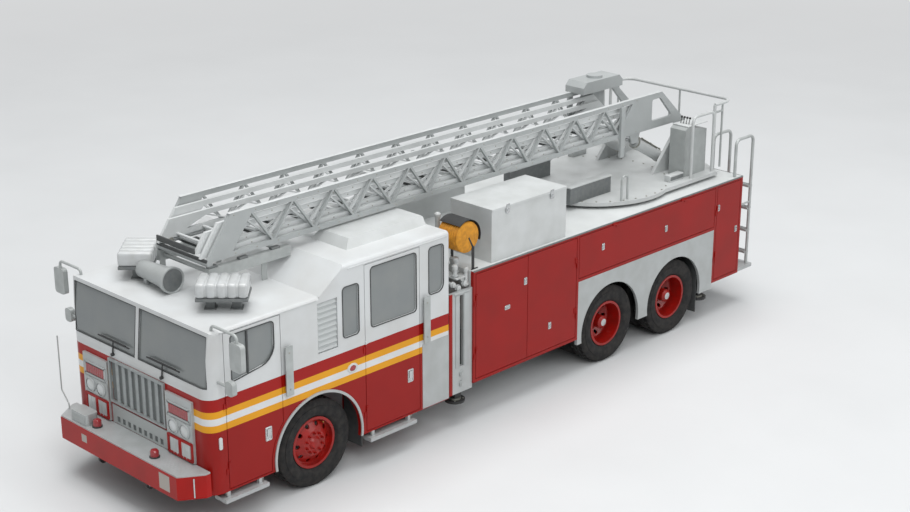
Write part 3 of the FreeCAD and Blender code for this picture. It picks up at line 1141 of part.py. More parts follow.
body_hollow = cut("body_hollow", body_blank, tunnel, *both("body_side_cuts", side_cuts))
node(join("body_shell", [body_hollow, slew_ring, *body_hinges]))

skirt = block("skirt", (d.body_half - d.body_wall, d.body_half), (d.well_front, d.well_rear),
              (d.skirt_bottom, d.well_top))
skirt_arches = [rod(f"skirt_arch_{number}", "x", (d.body_half - d.body_wall - d.weld, at, d.wheel_height),
                    d.rear_arch, d.body_wall + 2 * d.weld)
                for number, at in ((1, d.rear_axle_at), (2, second_axle_at))]
wheel_panel = cut("wheel_panel", skirt, *skirt_arches)
panel_outer = d.body_half - d.step_panel_inset
step_panel = block("step_panel", (panel_outer - d.step_panel_wall, panel_outer),
                   (d.cab_rear + d.step_panel_inset, d.body_front), (d.step_panel_bottom, d.step_panel_top))
step_slot = block("step_slot", (panel_outer - d.step_panel_wall - d.weld, d.body_half),
                  (d.slot_front, d.slot_rear), (d.slot_bottom, d.slot_top))
step_panel_cut = cut("step_panel_cut", step_panel, step_slot)
lip_start = d.cab_half + d.running_gap
arch_ring = cut("arch_ring", rod("arch_ring_outer", "x", (lip_start, d.front_axle_at, d.wheel_height),
                                 d.arch_radius + d.lip_width, d.lip_proud),
                rod("arch_ring_inner", "x", (lip_start - d.weld, d.front_axle_at, d.wheel_height),
                    d.arch_radius, d.lip_proud + 2 * d.weld))
arch_lip = common("arch_lip", arch_ring,
                  block("arch_lip_space", (d.cab_half, d.cab_half + 2 * d.lip_proud),
                        (d.front_axle_at - 2 * d.arch_radius, d.front_axle_at + 2 * d.arch_radius),
                        (d.cab_bottom, d.low_roof)))
kick_plate = block("kick_plate", (lip_start, lip_start + d.kick_wall), (d.kick_front, d.cab_rear),
                   (d.kick_bottom, d.kick_top))
node(together("side_panels", both("wheel_panel", wheel_panel) + both("step_panel", step_panel_cut)
              + both("arch_lip", arch_lip) + both("kick_plate", kick_plate)))

box_low = d.box_top - d.lid_wall
box = prism("box", "front", [(d.box_inner, d.body_top), (d.box_outer, d.body_top), (d.box_outer, box_low),
                             (d.box_outer + d.lid_proud, box_low), (d.box_outer + d.lid_proud, d.box_top),
                             (d.box_inner - d.lid_proud, d.box_top), (d.box_inner - d.lid_proud, box_low),
                             (d.box_inner, box_low)], d.box_front, d.box_rear)
node(together("equipment_boxes", both("deck_box", box) + [roof_unit]))

# hose drum on two side plates, with a pipe beside it
drum_width = d.drum_outer - d.drum_inner
drum = turned("drum", [(0, 0), (0, d.drum_radius), (d.drum_flange, d.drum_radius),
                       (d.drum_flange, d.drum_core), (drum_width - d.drum_flange, d.drum_core),
                       (drum_width - d.drum_flange, d.drum_radius),
                       (drum_width, d.drum_radius), (drum_width, 0)],
              (d.drum_inner, d.drum_station, d.drum_height))
drum_foot = d.body_front + d.strap
drum_legs = [prism(f"drum_leg_{end}", "side",
                   [(drum_foot, d.body_top), (drum_foot + 2 * d.drum_leg_foot, d.body_top),
                    (d.drum_station + d.drum_leg_head, d.drum_height + d.drum_leg_head, d.drum_axle),
                    (d.drum_station - d.drum_leg_head, d.drum_height + d.drum_leg_head, d.drum_axle)],
                   start, start + d.drum_leg)
             for end, start in (("inner", d.drum_inner - d.drum_leg - d.drum_slack),
                                ("outer", d.drum_outer + d.drum_slack))]
drum_axle = rod("drum_axle", "x", (d.drum_inner - d.drum_leg - d.drum_slack, d.drum_station, d.drum_height),
                d.drum_axle, drum_width + 2 * (d.drum_leg + d.drum_slack))
pipe = rod("deck_pipe", "z", (d.pipe_at, d.pipe_station, d.pipe_low), d.pipe_radius, d.pipe_high - d.pipe_low)
pipe_bracket = block("pipe_bracket", (d.pipe_at, d.drum_inner - d.drum_slack),
                     (d.pipe_station - d.drum_axle, d.body_front), (d.pipe_low, d.pipe_low + d.strap))
node(join("hose_drum", [drum, *drum_legs, drum_axle, pipe, pipe_bracket]))

flap_at = d.crew_door_front - d.well_wall
flap_front = block("flap_front", (d.flap_inner, d.flap_outer), (flap_at - d.flap_wall, flap_at),
                   (d.flap_bottom, d.flap_top))
flap_rear = block("flap_rear", (d.tunnel_half, d.rear_flap_outer),
                  (d.rear_flap_at, d.rear_flap_at + d.flap_wall), (d.rear_flap_bottom, d.well_top))
node(together("mudflaps", both("flap_front", flap_front) + both("flap_rear", flap_rear)))


def rear_ladder(name):
    """Two hooped rails from the rear step up over the deck's edge, with flat treads between them."""
    parts = []
    rail_at = d.body_rear + d.ladder_stand_off
    for side_name, x in (("in", d.climb_inner), ("out", d.climb_outer)):
        path = [(rail_at, d.step_top + d.running_gap), (rail_at, d.climb_top, d.climb_bend),
                (d.body_rear - d.climb_reach, d.climb_top, d.climb_bend),
                (d.body_rear - d.climb_reach, d.body_top)]
        parts.append(tube(f"{name}_rail_{side_name}", "side", path, x, d.hand_tube))
        parts.append(rod(f"{name}_stay_{side_name}", "y", (x, d.body_rear, d.climb_stay), d.stay_radius,
                         d.ladder_stand_off))
    for number in range(SIZES["climb_treads"]):
        low = d.climb_first + d.climb_pitch * number
        parts.append(block(f"{name}_tread_{number}", (d.climb_inner, d.climb_outer),
                           (rail_at - d.tread_depth / 2, rail_at + d.tread_depth / 2),
                           (low, low + d.tread_wall)))
    return join(name, parts)


node(together("rails_and_mirrors", grabs + mirrors + [marker, cradle]
              + both("rear_ladder", rear_ladder("rear_ladder"))))

# ---------------------------------------------------------------- turntable

plate_low = d.body_top + d.ring_height + d.running_gap
plate_high = plate_low + d.slew_plate
on_plate = plate_high - d.weld
disc = rod("slew_disc", "z", (0, d.slew_at, plate_low), d.slew_radius, d.slew_plate)
platform = prism("platform", "plan",
                 [(-d.platform_half, d.slew_at), (d.platform_half, d.slew_at),
                  (d.platform_half, d.platform_corner), (d.platform_tail, d.platform_rear),
                  (-d.platform_tail, d.platform_rear), (-d.platform_half, d.platform_corner)],
                 plate_low, plate_high)
cheek_top = d.pivot_height + d.pivot_cover
cheek = prism("cheek", "side",
              [(d.cheek_front, on_plate), (d.cheek_rear, on_plate),
               (d.cheek_rear, cheek_top, d.cheek_edge), (d.cheek_top_front, cheek_top, d.cheek_edge)],
              d.cheek_inner, d.cheek_inner + d.cheek_wall)
cheek_bore = rod("cheek_bore", "x", (d.cheek_inner - d.weld, d.pivot_at, d.pivot_height),
                 d.pivot_pin + d.running_gap, d.cheek_wall + 2 * d.weld)
cheek_part = cut("cheek_part", cheek, cheek_bore)
lift_out = d.lift_at + d.eye_width / 2
lug_top = d.lift_foot_height + d.foot_lug_head
foot_lug = prism("foot_lug", "side",
                 [(d.lift_foot - d.foot_lug_foot, on_plate), (d.lift_foot + d.foot_lug_foot, on_plate),
                  (d.lift_foot + d.foot_lug_head, lug_top, d.lug_edge),
                  (d.lift_foot - d.foot_lug_head, lug_top, d.lug_edge)],
                 lift_out + d.lug_gap, lift_out + d.lug_gap + d.lug_wall)
guard_x, guard_y = d.platform_half - d.guard_inset, d.platform_corner - d.guard_inset
guard_path = [(guard_y - d.guard_length, on_plate), (guard_y - d.guard_length, d.guard_top, d.climb_bend),
              (guard_y, d.guard_top, d.climb_bend), (guard_y, on_plate)]
guard = tube("guard", "side", guard_path, guard_x, d.hand_tube)
rear_post = rod("rear_post", "z", (d.rear_guard_half, d.rear_guard_front, on_plate), d.hand_tube,
                d.rear_guard_top - on_plate)
rear_rail = tube("rear_rail", "plan", [(d.rear_guard_half, d.rear_guard_front),
                                       (d.rear_guard_half, d.rear_guard_rear, d.guard_bend),
                                       (-d.rear_guard_half, d.rear_guard_rear, d.guard_bend),
                                       (-d.rear_guard_half, d.rear_guard_front)],
                 d.rear_guard_top, d.hand_tube)
node(join("turntable", [disc, platform, *both("cheek", cheek_part), *both("foot_lug", foot_lug),
                        *both("guard", guard), *both("rear_post", rear_post), rear_rail]))
node(prism("console", "side",
           [(d.console_front, plate_high), (d.console_rear, plate_high), (d.console_rear, d.console_low),
            (d.console_front + d.console_brow, d.console_high), (d.console_front, d.console_lip)],
           d.console_inner, d.console_outer))

# ---------------------------------------------------------------- ladder

def section(name, number, front, rear, cuts=(), extra=()):
    """One ladder section: two rails cut to a lattice and joined by rungs.
    number counts inwards from the outer section, and each lies inside the one before it."""
    half = d.ladder_half - number * d.section_step
    bottom = d.ladder_bottom + number * (d.chord / 2 + d.rung_radius + d.running_gap)
    top = d.ladder_top - number * d.section_drop
    rise = top - bottom
    full_rise = d.ladder_top - d.ladder_bottom
    tip_top = front + rise * (d.ladder_tip_top - d.ladder_tip) / full_rise
    heel_top = rear - rise * (d.ladder_heel - d.ladder_heel_top) / full_rise
    outline = [(front, bottom), (rear, bottom), (heel_top, top), (tip_top, top)]
    if number == 0:
        outline = [(front, bottom), (d.cheek_top_front - d.cheek_edge, bottom),
                   (rear, d.pivot_height - d.cheek_edge), (rear, cheek_top),
                   (d.ladder_heel_top, top), (tip_top, top)]
    body = prism(name + "_rail", "side", outline, half - d.rail_plate, half)
    # the lattice is one pair of triangles, one upright and one hanging, repeated along the rail
    low, high = bottom + d.chord, top - d.chord
    first = front + d.first_bay
    bays = SIZES["bays"]
    lattice = new_sketch(body, name + "_lattice", "YZ_Plane", half)
    draw(lattice, [(station(first + d.brace_gap), low), (station(first + d.bay - d.brace_gap), low),
                   (station(first + d.bay / 2), high)])
    draw(lattice, [(station(first + d.bay / 2 + d.brace_gap), high), (station(first + d.bay), low),
                   (station(first + d.bay * 1.5 - d.brace_gap), high)])
    pocket = body.newObject("PartDesign::Pocket", name + "_pocket")
    pocket.Profile = lattice
    pocket.Type = "Length"
    bind(pocket, "Length", d.rail_plate + d.weld)
    row = body.newObject("PartDesign::LinearPattern", name + "_lattice_row")
    row.Originals = [pocket]
    row.Direction = (lattice, ["H_Axis"])
    bind(row, "Length", d.bay * (bays - 1))
    row.Occurrences = bays
    body.Tip = row
    rail = cut(name + "_rail_cut", body, *cuts) if cuts else body
    reach = half - d.rail_plate / 2
    count = int((rear.number - front.number - d.last_rung.number) / d.rung_pitch.number)
    rungs = [rod(f"{name}_rung_{step}", "x",
                 (-reach, front + d.first_rung + step * d.rung_pitch, bottom + d.chord / 2),
                 d.rung_radius, reach * 2)
             for step in range(count)]
    return join(name, [*both(name + "_rail", rail), *rungs, *extra])


pin_start = d.ladder_half - d.rail_plate
pivot_pins = rod("pivot_pins", "x", (pin_start, d.pivot_at, d.pivot_height), d.pivot_pin,
                 d.cheek_inner + d.cheek_wall - pin_start)
eye_lug = prism("eye_lug", "side",
                [(d.lift_eye_at - d.eye_lug_head, d.lift_eye_height - d.eye_lug_drop, d.lug_edge),
                 (d.lift_eye_at + d.eye_lug_head, d.lift_eye_height - d.eye_lug_drop, d.lug_edge),
                 (d.lift_eye_at + d.eye_lug_foot, d.ladder_bottom + d.weld),
                 (d.lift_eye_at - d.eye_lug_foot, d.ladder_bottom + d.weld)],
                pin_start, pin_start + d.lug_wall)
post = block("rail_post", (d.ladder_half - d.weld, d.ladder_half + d.post_proud),
             (d.post_station - d.post_width / 2, d.post_station + d.post_width / 2),
             (d.post_low, d.post_high))
tip_bar = rod("tip_bar", "x",
              (-d.ladder_half, d.ladder_tip + d.tip_reach, d.ladder_bottom - d.tip_bar / 2), d.tip_bar,
              d.ladder_half * 2)
box_shoulder = d.top_box_top - d.top_box_bevel
top_box = prism("top_box", "side",
                [(d.top_box_front, d.ladder_top - d.weld), (d.top_box_rear, d.ladder_top - d.weld),
                 (d.top_box_rear, box_shoulder), (d.top_box_rear - d.top_box_bevel, d.top_box_top),
                 (d.top_box_front + d.top_box_bevel, d.top_box_top), (d.top_box_front, box_shoulder)],
                d.top_box_outer, d.top_box_inner)
dome = rod("dome", "z", ((d.top_box_outer + d.top_box_inner) / 2, (d.top_box_front + d.top_box_rear) / 2,
                         d.top_box_top - d.weld), d.dome_radius, d.dome_height)
heel_window = prism("heel_window", "side",
                    [(d.heel_window_front, d.heel_window_low, d.heel_window_edge),
                     (d.heel_window_rear, d.heel_window_low, d.heel_window_edge),
                     (d.heel_window_top, d.heel_window_high, d.heel_window_edge),
                     (d.heel_window_front, d.heel_window_high, d.heel_window_edge)],
                    pin_start - d.weld, d.ladder_half + d.weld)
node(section("ladder_base", 0, d.ladder_tip + 2 * d.tip_step, d.ladder_heel, [heel_window],
             (*both("pivot_pins", pivot_pins), *both("eye_lug", eye_lug), *both("rail_post", post), tip_bar,
              top_box, dome)))
node(section("ladder_mid", 1, d.ladder_tip + d.tip_step, d.ladder_heel_top - d.heel_back))
node(section("ladder_fly", 2, d.ladder_tip, d.ladder_heel_top - 2 * d.heel_back))

# ---------------------------------------------------------------- lift cylinders

lift_run, lift_rise = d.lift_foot - d.lift_eye_at, d.lift_eye_height - d.lift_foot_height
lift_length = span_of(lift_rise, lift_run)
lift_turn = lean_of(lift_run, lift_rise)


def on_lift_line(thing):
    """Turns a piece made along +z from the foot pin onto the cylinder's line."""
    thing.Placement.Rotation = FreeCAD.Rotation(FreeCAD.Vector(1, 0, 0), 30)
    bind(thing, "Placement.Rotation.Angle", lift_turn)
    return place(thing, d.lift_at, d.lift_foot, d.lift_foot_height)


def lift_tube(name, start, length, radius):
    bar = doc.addObject("PartDesign::Body", name)
    sketch = new_sketch(bar, name + "_circle", "XY_Plane", start)
    ring(sketch, 0, 0, radius)
    pad = bar.newObject("PartDesign::Pad", name + "_pad")
    pad.Profile = sketch
    bind(pad, "Length", length)
    return on_lift_line(bar)


barrel = lift_tube("barrel_tube", d.barrel_start, d.barrel_length - d.barrel_start, d.barrel_radius)
barrel_neck = lift_tube("barrel_neck", d.foot_pin, d.barrel_start + d.weld - d.foot_pin, d.neck_radius)
barrel_bore = lift_tube("barrel_bore", d.barrel_start + d.bore_start, d.barrel_length,
                        d.rod_radius + d.running_gap)
eye_start = d.lift_at - d.eye_width / 2
foot_eye = rod("foot_eye", "x", (eye_start, d.lift_foot, d.lift_foot_height), d.eye_ring, d.eye_width)
foot_pin = rod("foot_pin", "x", (eye_start, d.lift_foot, d.lift_foot_height), d.foot_pin,
               d.eye_width + d.lug_gap)
rod_start = d.barrel_start + d.rod_start
rod_bar = lift_tube("rod_bar", rod_start, lift_length - rod_start - d.rod_tuck, d.rod_radius)
rod_eye = rod("rod_eye", "x", (eye_start, d.lift_eye_at, d.lift_eye_height), d.eye_ring, d.eye_width)
barrel_hollow = cut("barrel_hollow", barrel, barrel_bore)
barrel_part = join("lift_barrel", [barrel_hollow, barrel_neck, foot_eye, foot_pin])
node(together("lift_barrels", both("lift_barrel", barrel_part)))
node(together("lift_rods", both("lift_rod", join("lift_rod", [rod_bar, rod_eye]))))

# ---------------------------------------------------------------- checks and export

doc.recompute()
faults = [f"{thing.Label}: {thing.State}" for thing in doc.Objects
          if "Invalid" in thing.State or "Error" in thing.State]
for piece in nodes:
    if piece.Shape.isNull() or not piece.Shape.isValid() or not piece.Shape.Solids:
        faults.append(f"{piece.Label}: its shape is empty or not valid")
if len({piece.Label for piece in nodes}) != len(nodes):
    faults.append("two pieces share a name")
if faults:
    raise RuntimeError("; ".join(faults))
for piece in nodes:
    piece.Shape.exportStep(f"parts/{piece.Label}.step")
    box = piece.Shape.BoundBox
    print(f"{piece.Label:28s} solids {len(piece.Shape.Solids):3d}  x {box.XMin:8.1f} {box.XMax:8.1f}  "
          f"y {box.YMin:8.1f} {box.YMax:8.1f}  z {box.ZMin:8.1f} {box.ZMax:8.1f}")
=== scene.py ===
import math

import bmesh
import bpy
from mathutils import Matrix, Vector


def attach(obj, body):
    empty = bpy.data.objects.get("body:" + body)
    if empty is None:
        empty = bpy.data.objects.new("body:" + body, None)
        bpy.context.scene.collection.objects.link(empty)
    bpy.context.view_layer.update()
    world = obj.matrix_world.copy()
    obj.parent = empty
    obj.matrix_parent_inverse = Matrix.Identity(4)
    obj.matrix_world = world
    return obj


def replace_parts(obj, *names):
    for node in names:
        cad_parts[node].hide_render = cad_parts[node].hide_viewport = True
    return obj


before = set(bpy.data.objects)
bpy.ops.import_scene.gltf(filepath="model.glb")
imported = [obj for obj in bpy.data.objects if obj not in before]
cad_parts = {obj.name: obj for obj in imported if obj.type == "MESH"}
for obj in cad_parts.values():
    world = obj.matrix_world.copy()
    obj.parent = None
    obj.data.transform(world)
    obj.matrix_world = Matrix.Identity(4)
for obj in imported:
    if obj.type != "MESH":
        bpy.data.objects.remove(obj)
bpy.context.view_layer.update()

# A fire engine with a rear-mounted aerial ladder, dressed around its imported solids.
# Metres, +Z up, +X the vehicle's left, -Y its front, the origin on the ground half way along.


# -------- chassis, axles and jacks
# Rolled steel rails, a dropped front beam, drive axles and jack tubes, bolted and welded up and
# sprayed with black chassis paint. The solids take their finish here and get their bolts.

HALF_LENGTH = 5025


def at(x, station, z):
    """A point in the frame, from millimetres; a station is counted from the bumper's face."""
    return Vector((x, station - HALF_LENGTH, z)) / 1000


def linear(code):
    """An sRGB hex code as the linear colour that a shader reads."""
    parts = [int(code[i:i + 2], 16) / 255 for i in (0, 2, 4)]
    return tuple(p / 12.92 if p <= 0.04045 else ((p + 0.055) / 1.055) ** 2.4 for p in parts) + (1.0,)


SOCKETS = {"colour": "Base Color", "rough": "Roughness", "metal": "Metallic", "shine": "Specular IOR Level",
           "coat": "Coat Weight", "coat_rough": "Coat Roughness", "ior": "IOR", "clear": "Transmission Weight"}


def finish(name, slot, dust=(), **surface):
    """A new material; slot is not used; dust holds its clean and dusty colours and the size
    of a patch, surface its shader's settings."""
    material = bpy.data.materials.new(name)
    material.use_nodes = True
    shader = material.node_tree.nodes["Principled BSDF"]
    for word, value in surface.items():
        shader.inputs[SOCKETS[word]].default_value = linear(value) if isinstance(value, str) else value
    if dust:
        dusted(material, *dust)
    return material


def add(material, kind, inputs, stops=(), **settings):
    """Adds a shader node and returns its outputs; inputs are values or outputs, stops a ramp's colours."""
    tree = material.node_tree
    node = tree.nodes.new("ShaderNode" + kind)
    for name, value in settings.items():
        setattr(node, name, value)
    for socket, value in inputs.items():
        if isinstance(value, bpy.types.NodeSocket):
            tree.links.new(value, node.inputs[socket])
        else:
            node.inputs[socket].default_value = linear(value) if isinstance(value, str) else value
    if stops:
        elements = node.color_ramp.elements
        elements.remove(elements[1])
        for place, code in stops:
            stop = elements[0] if place == stops[0][0] else elements.new(place)
            stop.position, stop.color = place, linear(code)
    return node.outputs


def feed(material, output, socket="Base Color"):
    """Leads a node's output into the material's own surface shader."""
    tree = material.node_tree
    tree.links.new(output, tree.nodes["Principled BSDF"].inputs[socket])


def patchy(material, spot, clean, dusty, patch, detail=4.0):
    """A colour that drifts between two in soft patches of about that many metres."""
    noise = add(material, "TexNoise", {"Vector": spot, "Scale": 1 / patch, "Detail": detail})
    return add(material, "ValToRGB", {"Fac": noise["Fac"]}, stops=((0.35, clean), (0.75, dusty)))["Color"]


def dusted(material, clean, dusty, patch):
    """Blends a finish towards its dusty colour; returns where the points lie."""
    spot = add(material, "TexCoord", {})["Object"]
    feed(material, patchy(material, spot, clean, dusty, patch, 5.0))
    return spot


def paint(material, *nodes):
    """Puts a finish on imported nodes, which keep their own meshes."""
    for node in nodes:
        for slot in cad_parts[node].material_slots:
            slot.material = material


def bar(shape, start, end, radius, sides=16, tip=None):
    """Adds a round bar between two points, or with a radius for its tip too a cone."""
    run = end - start
    stand = Matrix.Translation((start + end) / 2) @ run.to_track_quat("Z", "Y").to_matrix().to_4x4()
    bmesh.ops.create_cone(shape, cap_ends=True, segments=sides, radius1=radius / 1000,
                          radius2=(radius if tip is None else tip) / 1000,
                          depth=run.length, matrix=stand)


def stud(shape, inner, outer, station, z, radius, sides=16):
    """Adds a round bar that points straight out to one side."""
    bar(shape, at(inner, station, z), at(outer, station, z), radius, sides)


def round_turn(count, radius):
    """The sine and cosine sides of places on a circle, evenly spaced from half a space on."""
    turns = [math.tau * (number + 0.5) / count for number in range(count)]
    return [(radius * math.sin(turn), radius * math.cos(turn)) for turn in turns]


def on_both_sides(shape):
    """Copies everything so far to the vehicle's other side."""
    bmesh.ops.mirror(shape, geom=shape.verts[:] + shape.edges[:] + shape.faces[:], matrix=Matrix(),
                     merge_dist=-1.0, axis="X")


def placed(name, data):
    """Puts a mesh, a lamp or the camera into the scene."""
    made = bpy.data.objects.new(name, data)
    bpy.context.scene.collection.objects.link(made)
    return made


def piece(name, shape, material, body="chassis", bend=30.0, both=False):
    """Makes a piece of a bmesh, mirrored too if it is on both sides; edges over bend degrees stay crisp."""
    if both:
        on_both_sides(shape)
    bmesh.ops.recalc_face_normals(shape, faces=shape.faces)
    mesh = bpy.data.meshes.new(name)
    shape.to_mesh(mesh)
    shape.free()
    mesh.shade_smooth()
    mesh.set_sharp_from_angle(angle=math.radians(bend))
    mesh.materials.append(material)
    made = placed(name, mesh)
    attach(made, body)
    return made


SIDES = (("left", 1), ("right", -1))


# Semi-gloss chassis paint: near black, with a soft broad sheen and a thin film of road dust.
chassis_paint = finish("semi_gloss_chassis_paint", "chassis_black", ("1B1C1E", "302F2E", 0.12), rough=0.5)
paint(chassis_paint, "chassis_frame", "engine_block", "front_axle", "rear_axles")
for side, sign in SIDES:
    paint(chassis_paint, f"knuckle_{side}", f"jack_front_{side}", f"jack_rear_{side}")

# Zinc-plated steel: pale, a little yellow and half bright, on bolts and clips.
zinc = finish("zinc_plated_steel", "bright_steel", ("A8A79F", "96958E", 0.03), metal=0.9, rough=0.38)
RAIL_BOLTS = (560, 900, 1500, 2870, 3420, 4090, 4460, 5200, 5800, 6300, 6867, 7547, 8227, 8945, 9400)
bolts = bmesh.new()
for station in RAIL_BOLTS:
    for height in (760, 830, 900):
        stud(bolts, 430, 442, station, height, 13, 6)
piece("rail_bolts", bolts, zinc, both=True)
JACK_OUT, JACK_FOOT = 1135, 330
for end, station in (("front", 4090), ("rear", 8945)):
    for side, sign in SIDES:
        collar = bmesh.new()
        foot = at(sign * JACK_OUT, station, JACK_FOOT)
        bar(collar, foot, foot + Vector((0, 0, 0.022)), 78, 32)
        for along, across in round_turn(4, 100):
            spot = foot + Vector((across, along, 0)) / 1000
            bar(collar, spot, spot + Vector((0, 0, 0.010)), 11, 6)
        piece(f"jack_{end}_collar_{side}", collar, zinc, f"jack_{end}_{side}")


# -------- tyres
# Steel-belted truck tyres, single in front and paired behind. Each is spun from its section with
# ribs and grooves, and the shoulder blocks are cut by sinking every other face of the tread.

TYRE_STEPS, AXLE_HEIGHT = 80, 525
OUTWARDS = (1, 0, 0)


def spun(shape, section, centre, axis=OUTWARDS, steps=48):
    """Spins a section of (along, radius) millimetres about an axis through centre."""
    axis = Vector(axis)
    up = Vector((1, 0, 0) if axis.z else (0, 0, 1))
    ends = [shape.verts.new(centre + axis * along / 1000 + up * radius / 1000) for along, radius in section]
    edges = [shape.edges.new(pair) for pair in zip(ends, ends[1:])]
    bmesh.ops.spin(shape, geom=ends + edges, cent=centre, axis=axis, angle=math.tau, steps=steps,
                   use_merge=True, use_duplicate=False)
    bmesh.ops.remove_doubles(shape, verts=shape.verts, dist=1e-6)


def tyre_section(half, seat):
    """A tyre from bead to bead: half its width, and half the rim's seat."""
    side = [(seat, 287), (seat, 309), (half - 22, 330), (half - 6, 352), (half, 398), (half - 3, 436),
            (half - 3, 444), (half - 9, 446), (half - 14, 480), (half - 26, 506), (half - 40, 520)]
    ribs = [(62, 524), (60, 512), (50, 512), (48, 524.5), (7, 525), (5, 512)]
    half_section = side + ribs
    return half_section + [(-along, radius) for along, radius in reversed(half_section)] + [(seat, 287)]


# Tyre rubber: carbon black, matt, greyed a little by road dust.
tyre_rubber = finish("moulded_tyre_rubber", "tyre_rubber", ("1E1E1F", "343230", 0.07), rough=0.85, shine=0.3)
# body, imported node, distance out, station, half the width, half the seat, offsets of its tyres
AXLES = (("front_wheel", "front_tyre", 1035, 1833, 157, 97, (0,)),
         ("rear_wheel_1", "rear_tyres_1", 925, 6867, 140, 87, (165, -165)),
         ("rear_wheel_2", "rear_tyres_2", 925, 8227, 140, 87, (165, -165)))
for body, node, out, station, half, seat, offsets in AXLES:
    for side, sign in SIDES:
        tyres = bmesh.new()
        for offset in offsets:
            centre = at(sign * (out + offset), station, AXLE_HEIGHT)
            spun(tyres, tyre_section(half, seat), centre, steps=TYRE_STEPS)
        shoulder = []
        for face in tyres.faces:
            middle = face.calc_center_median()
            reach = math.hypot(middle.y - centre.y, middle.z - centre.z)
            across = min(abs(abs(middle.x) * 1000 - out - offset) for offset in offsets)
            turn = math.atan2(middle.z - centre.z, middle.y - centre.y) % math.tau
            if reach > 0.515 and across > 75 and int(turn / math.tau * TYRE_STEPS) % 2:
                shoulder.append(face)
        bmesh.ops.inset_individual(tyres, faces=shoulder, thickness=0.004, depth=-0.011)
        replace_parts(piece(f"{node}_{side}_treaded", tyres, tyre_rubber, f"{body}_{side}"), f"{node}_{side}")


# -------- wheels
# Pressed steel disc wheels in enamel, each held by ten nuts, with a turned hub cap and a brass
# tyre valve between two of the hand holes.

# Wheel enamel: signal red, glossy, with a thin clear coat.
wheel_enamel = finish("red_wheel_enamel", "wheel_red", ("9A120B", "821A14", 0.1), rough=0.35, shine=0.35,
                      coat=0.15, coat_rough=0.15)
# Polished stainless steel: bright and mirror-like, with a trace of the polisher's strokes.
steel = finish("polished_stainless_steel", "bright_steel", ("C9CBCC", "B9BBBB", 0.06), metal=1.0, rough=0.24)
# Turned brass: warm yellow metal, half bright.
turned_brass = finish("turned_brass", "bright_steel", ("B08D4A", "94784A", 0.03), metal=1.0, rough=0.35)
# body, distance out, station, nut circle, face that the nuts stand on, cap's end, cap's radius
HUBS = (("front_wheel", 1035, 1833, 118, 125, 150, 56), ("rear_wheel_1", 925, 6867, 137, 14, 232, 57),
        ("rear_wheel_2", 925, 8227, 137, 14, 232, 57))
VALVE_CIRCLE = 252
for body, out, station, circle, face, cap_end, cap_radius in HUBS:
    # the front hubs are enamelled over, nuts and all
    metal = wheel_enamel if body == "front_wheel" else steel
    for side, sign in SIDES:
        paint(wheel_enamel, f"{body}_{side}")
        nuts, cap, valve = bmesh.new(), bmesh.new(), bmesh.new()
        for up, along in round_turn(10, circle):
            y, z = station + along, AXLE_HEIGHT + up
            stud(nuts, sign * (out + face), sign * (out + face + 20), y, z, 17, 6)
            stud(nuts, sign * (out + face + 20), sign * (out + face + 36), y, z, 9, 12)
        piece(f"{body}_nuts_{side}", nuts, metal, f"{body}_{side}")
        spun(cap, [(0, 0), (0, cap_radius - 14), (-4, cap_radius - 4), (-12, cap_radius), (-26, cap_radius)],
             at(sign * (out + cap_end + 2), station, AXLE_HEIGHT), (sign, 0, 0), 40)
        piece(f"{body}_cap_{side}", cap, metal, f"{body}_{side}")
        up, along = round_turn(10, VALVE_CIRCLE)[1]
        y, z = station + along, AXLE_HEIGHT + up
        valve_out = out + (60 if body == "front_wheel" else 74)
        stud(valve, sign * valve_out, sign * (valve_out + 38), y, z, 7, 12)
        stud(valve, sign * (valve_out + 38), sign * (valve_out + 50), y, z, 9, 12)
        piece(f"{body}_valve_{side}", valve, turned_brass, f"{body}_{side}")


# -------- cab
# A welded aluminium cab with four doors, in two-pack enamel. Its windows sit in rubber seals, and
# the doors carry paddle latches, so rubber, latches, wipers and marker lamps are added here.

# Cab enamel: glossy paint in bands cut by height, pale above the waist, under one clear coat.
BANDS = ((0.0, "8F100A"), (1.15, "DC9A1C"), (1.225, "D4D6D7"), (1.30, "DC9A1C"), (1.385, "9A120D"),
         (1.52, "CCCFD0"))
BAND_TOP = 4.0
GLOSSY = dict(rough=0.32, shine=0.2, coat=0.1, coat_rough=0.12)
cab_enamel = finish("banded_cab_enamel", "cab_paint", **GLOSSY)
spot = add(cab_enamel, "TexCoord", {})["Object"]
height = add(cab_enamel, "SeparateXYZ", {"Vector": spot})["Z"]
share = add(cab_enamel, "Math", {0: height, 1: BAND_TOP}, operation="DIVIDE")["Value"]
bands = add(cab_enamel, "ValToRGB", {"Fac": share}, stops=[(low / BAND_TOP, code) for low, code in BANDS])
bands["Color"].node.color_ramp.interpolation = "CONSTANT"
chalk = patchy(cab_enamel, spot, "FFFFFF", "F1EFED", 0.5)
worn = add(cab_enamel, "MixRGB", {"Fac": 1.0, "Color1": bands["Color"], "Color2": chalk}, blend_type="MULTIPLY")
feed(cab_enamel, worn["Color"])

# Laminated glass: grey tinted and smooth, seen through only dimly.
cab_pane = finish("tinted_laminated_glass", "window_glass", ("878C8D", "8E9291", 0.3), rough=0.08, ior=1.5,
                  clear=0.18)
# Extruded rubber seal: black, satin, a little bloomed by age.
seal_rubber = finish("extruded_seal_rubber", "flap_rubber", ("404243", "4A4C4B", 0.06), rough=0.7)

paint(cab_enamel, "cab_shell")
paint(cab_pane, "cab_glass")
for side, sign in SIDES:
    paint(cab_enamel, f"front_door_{side}", f"crew_door_{side}")
    paint(cab_pane, f"front_door_glass_{side}", f"crew_door_glass_{side}")


def about(middle, half):
    """The two ends of a measure that reaches half either way of its middle."""
    return middle - half, middle + half


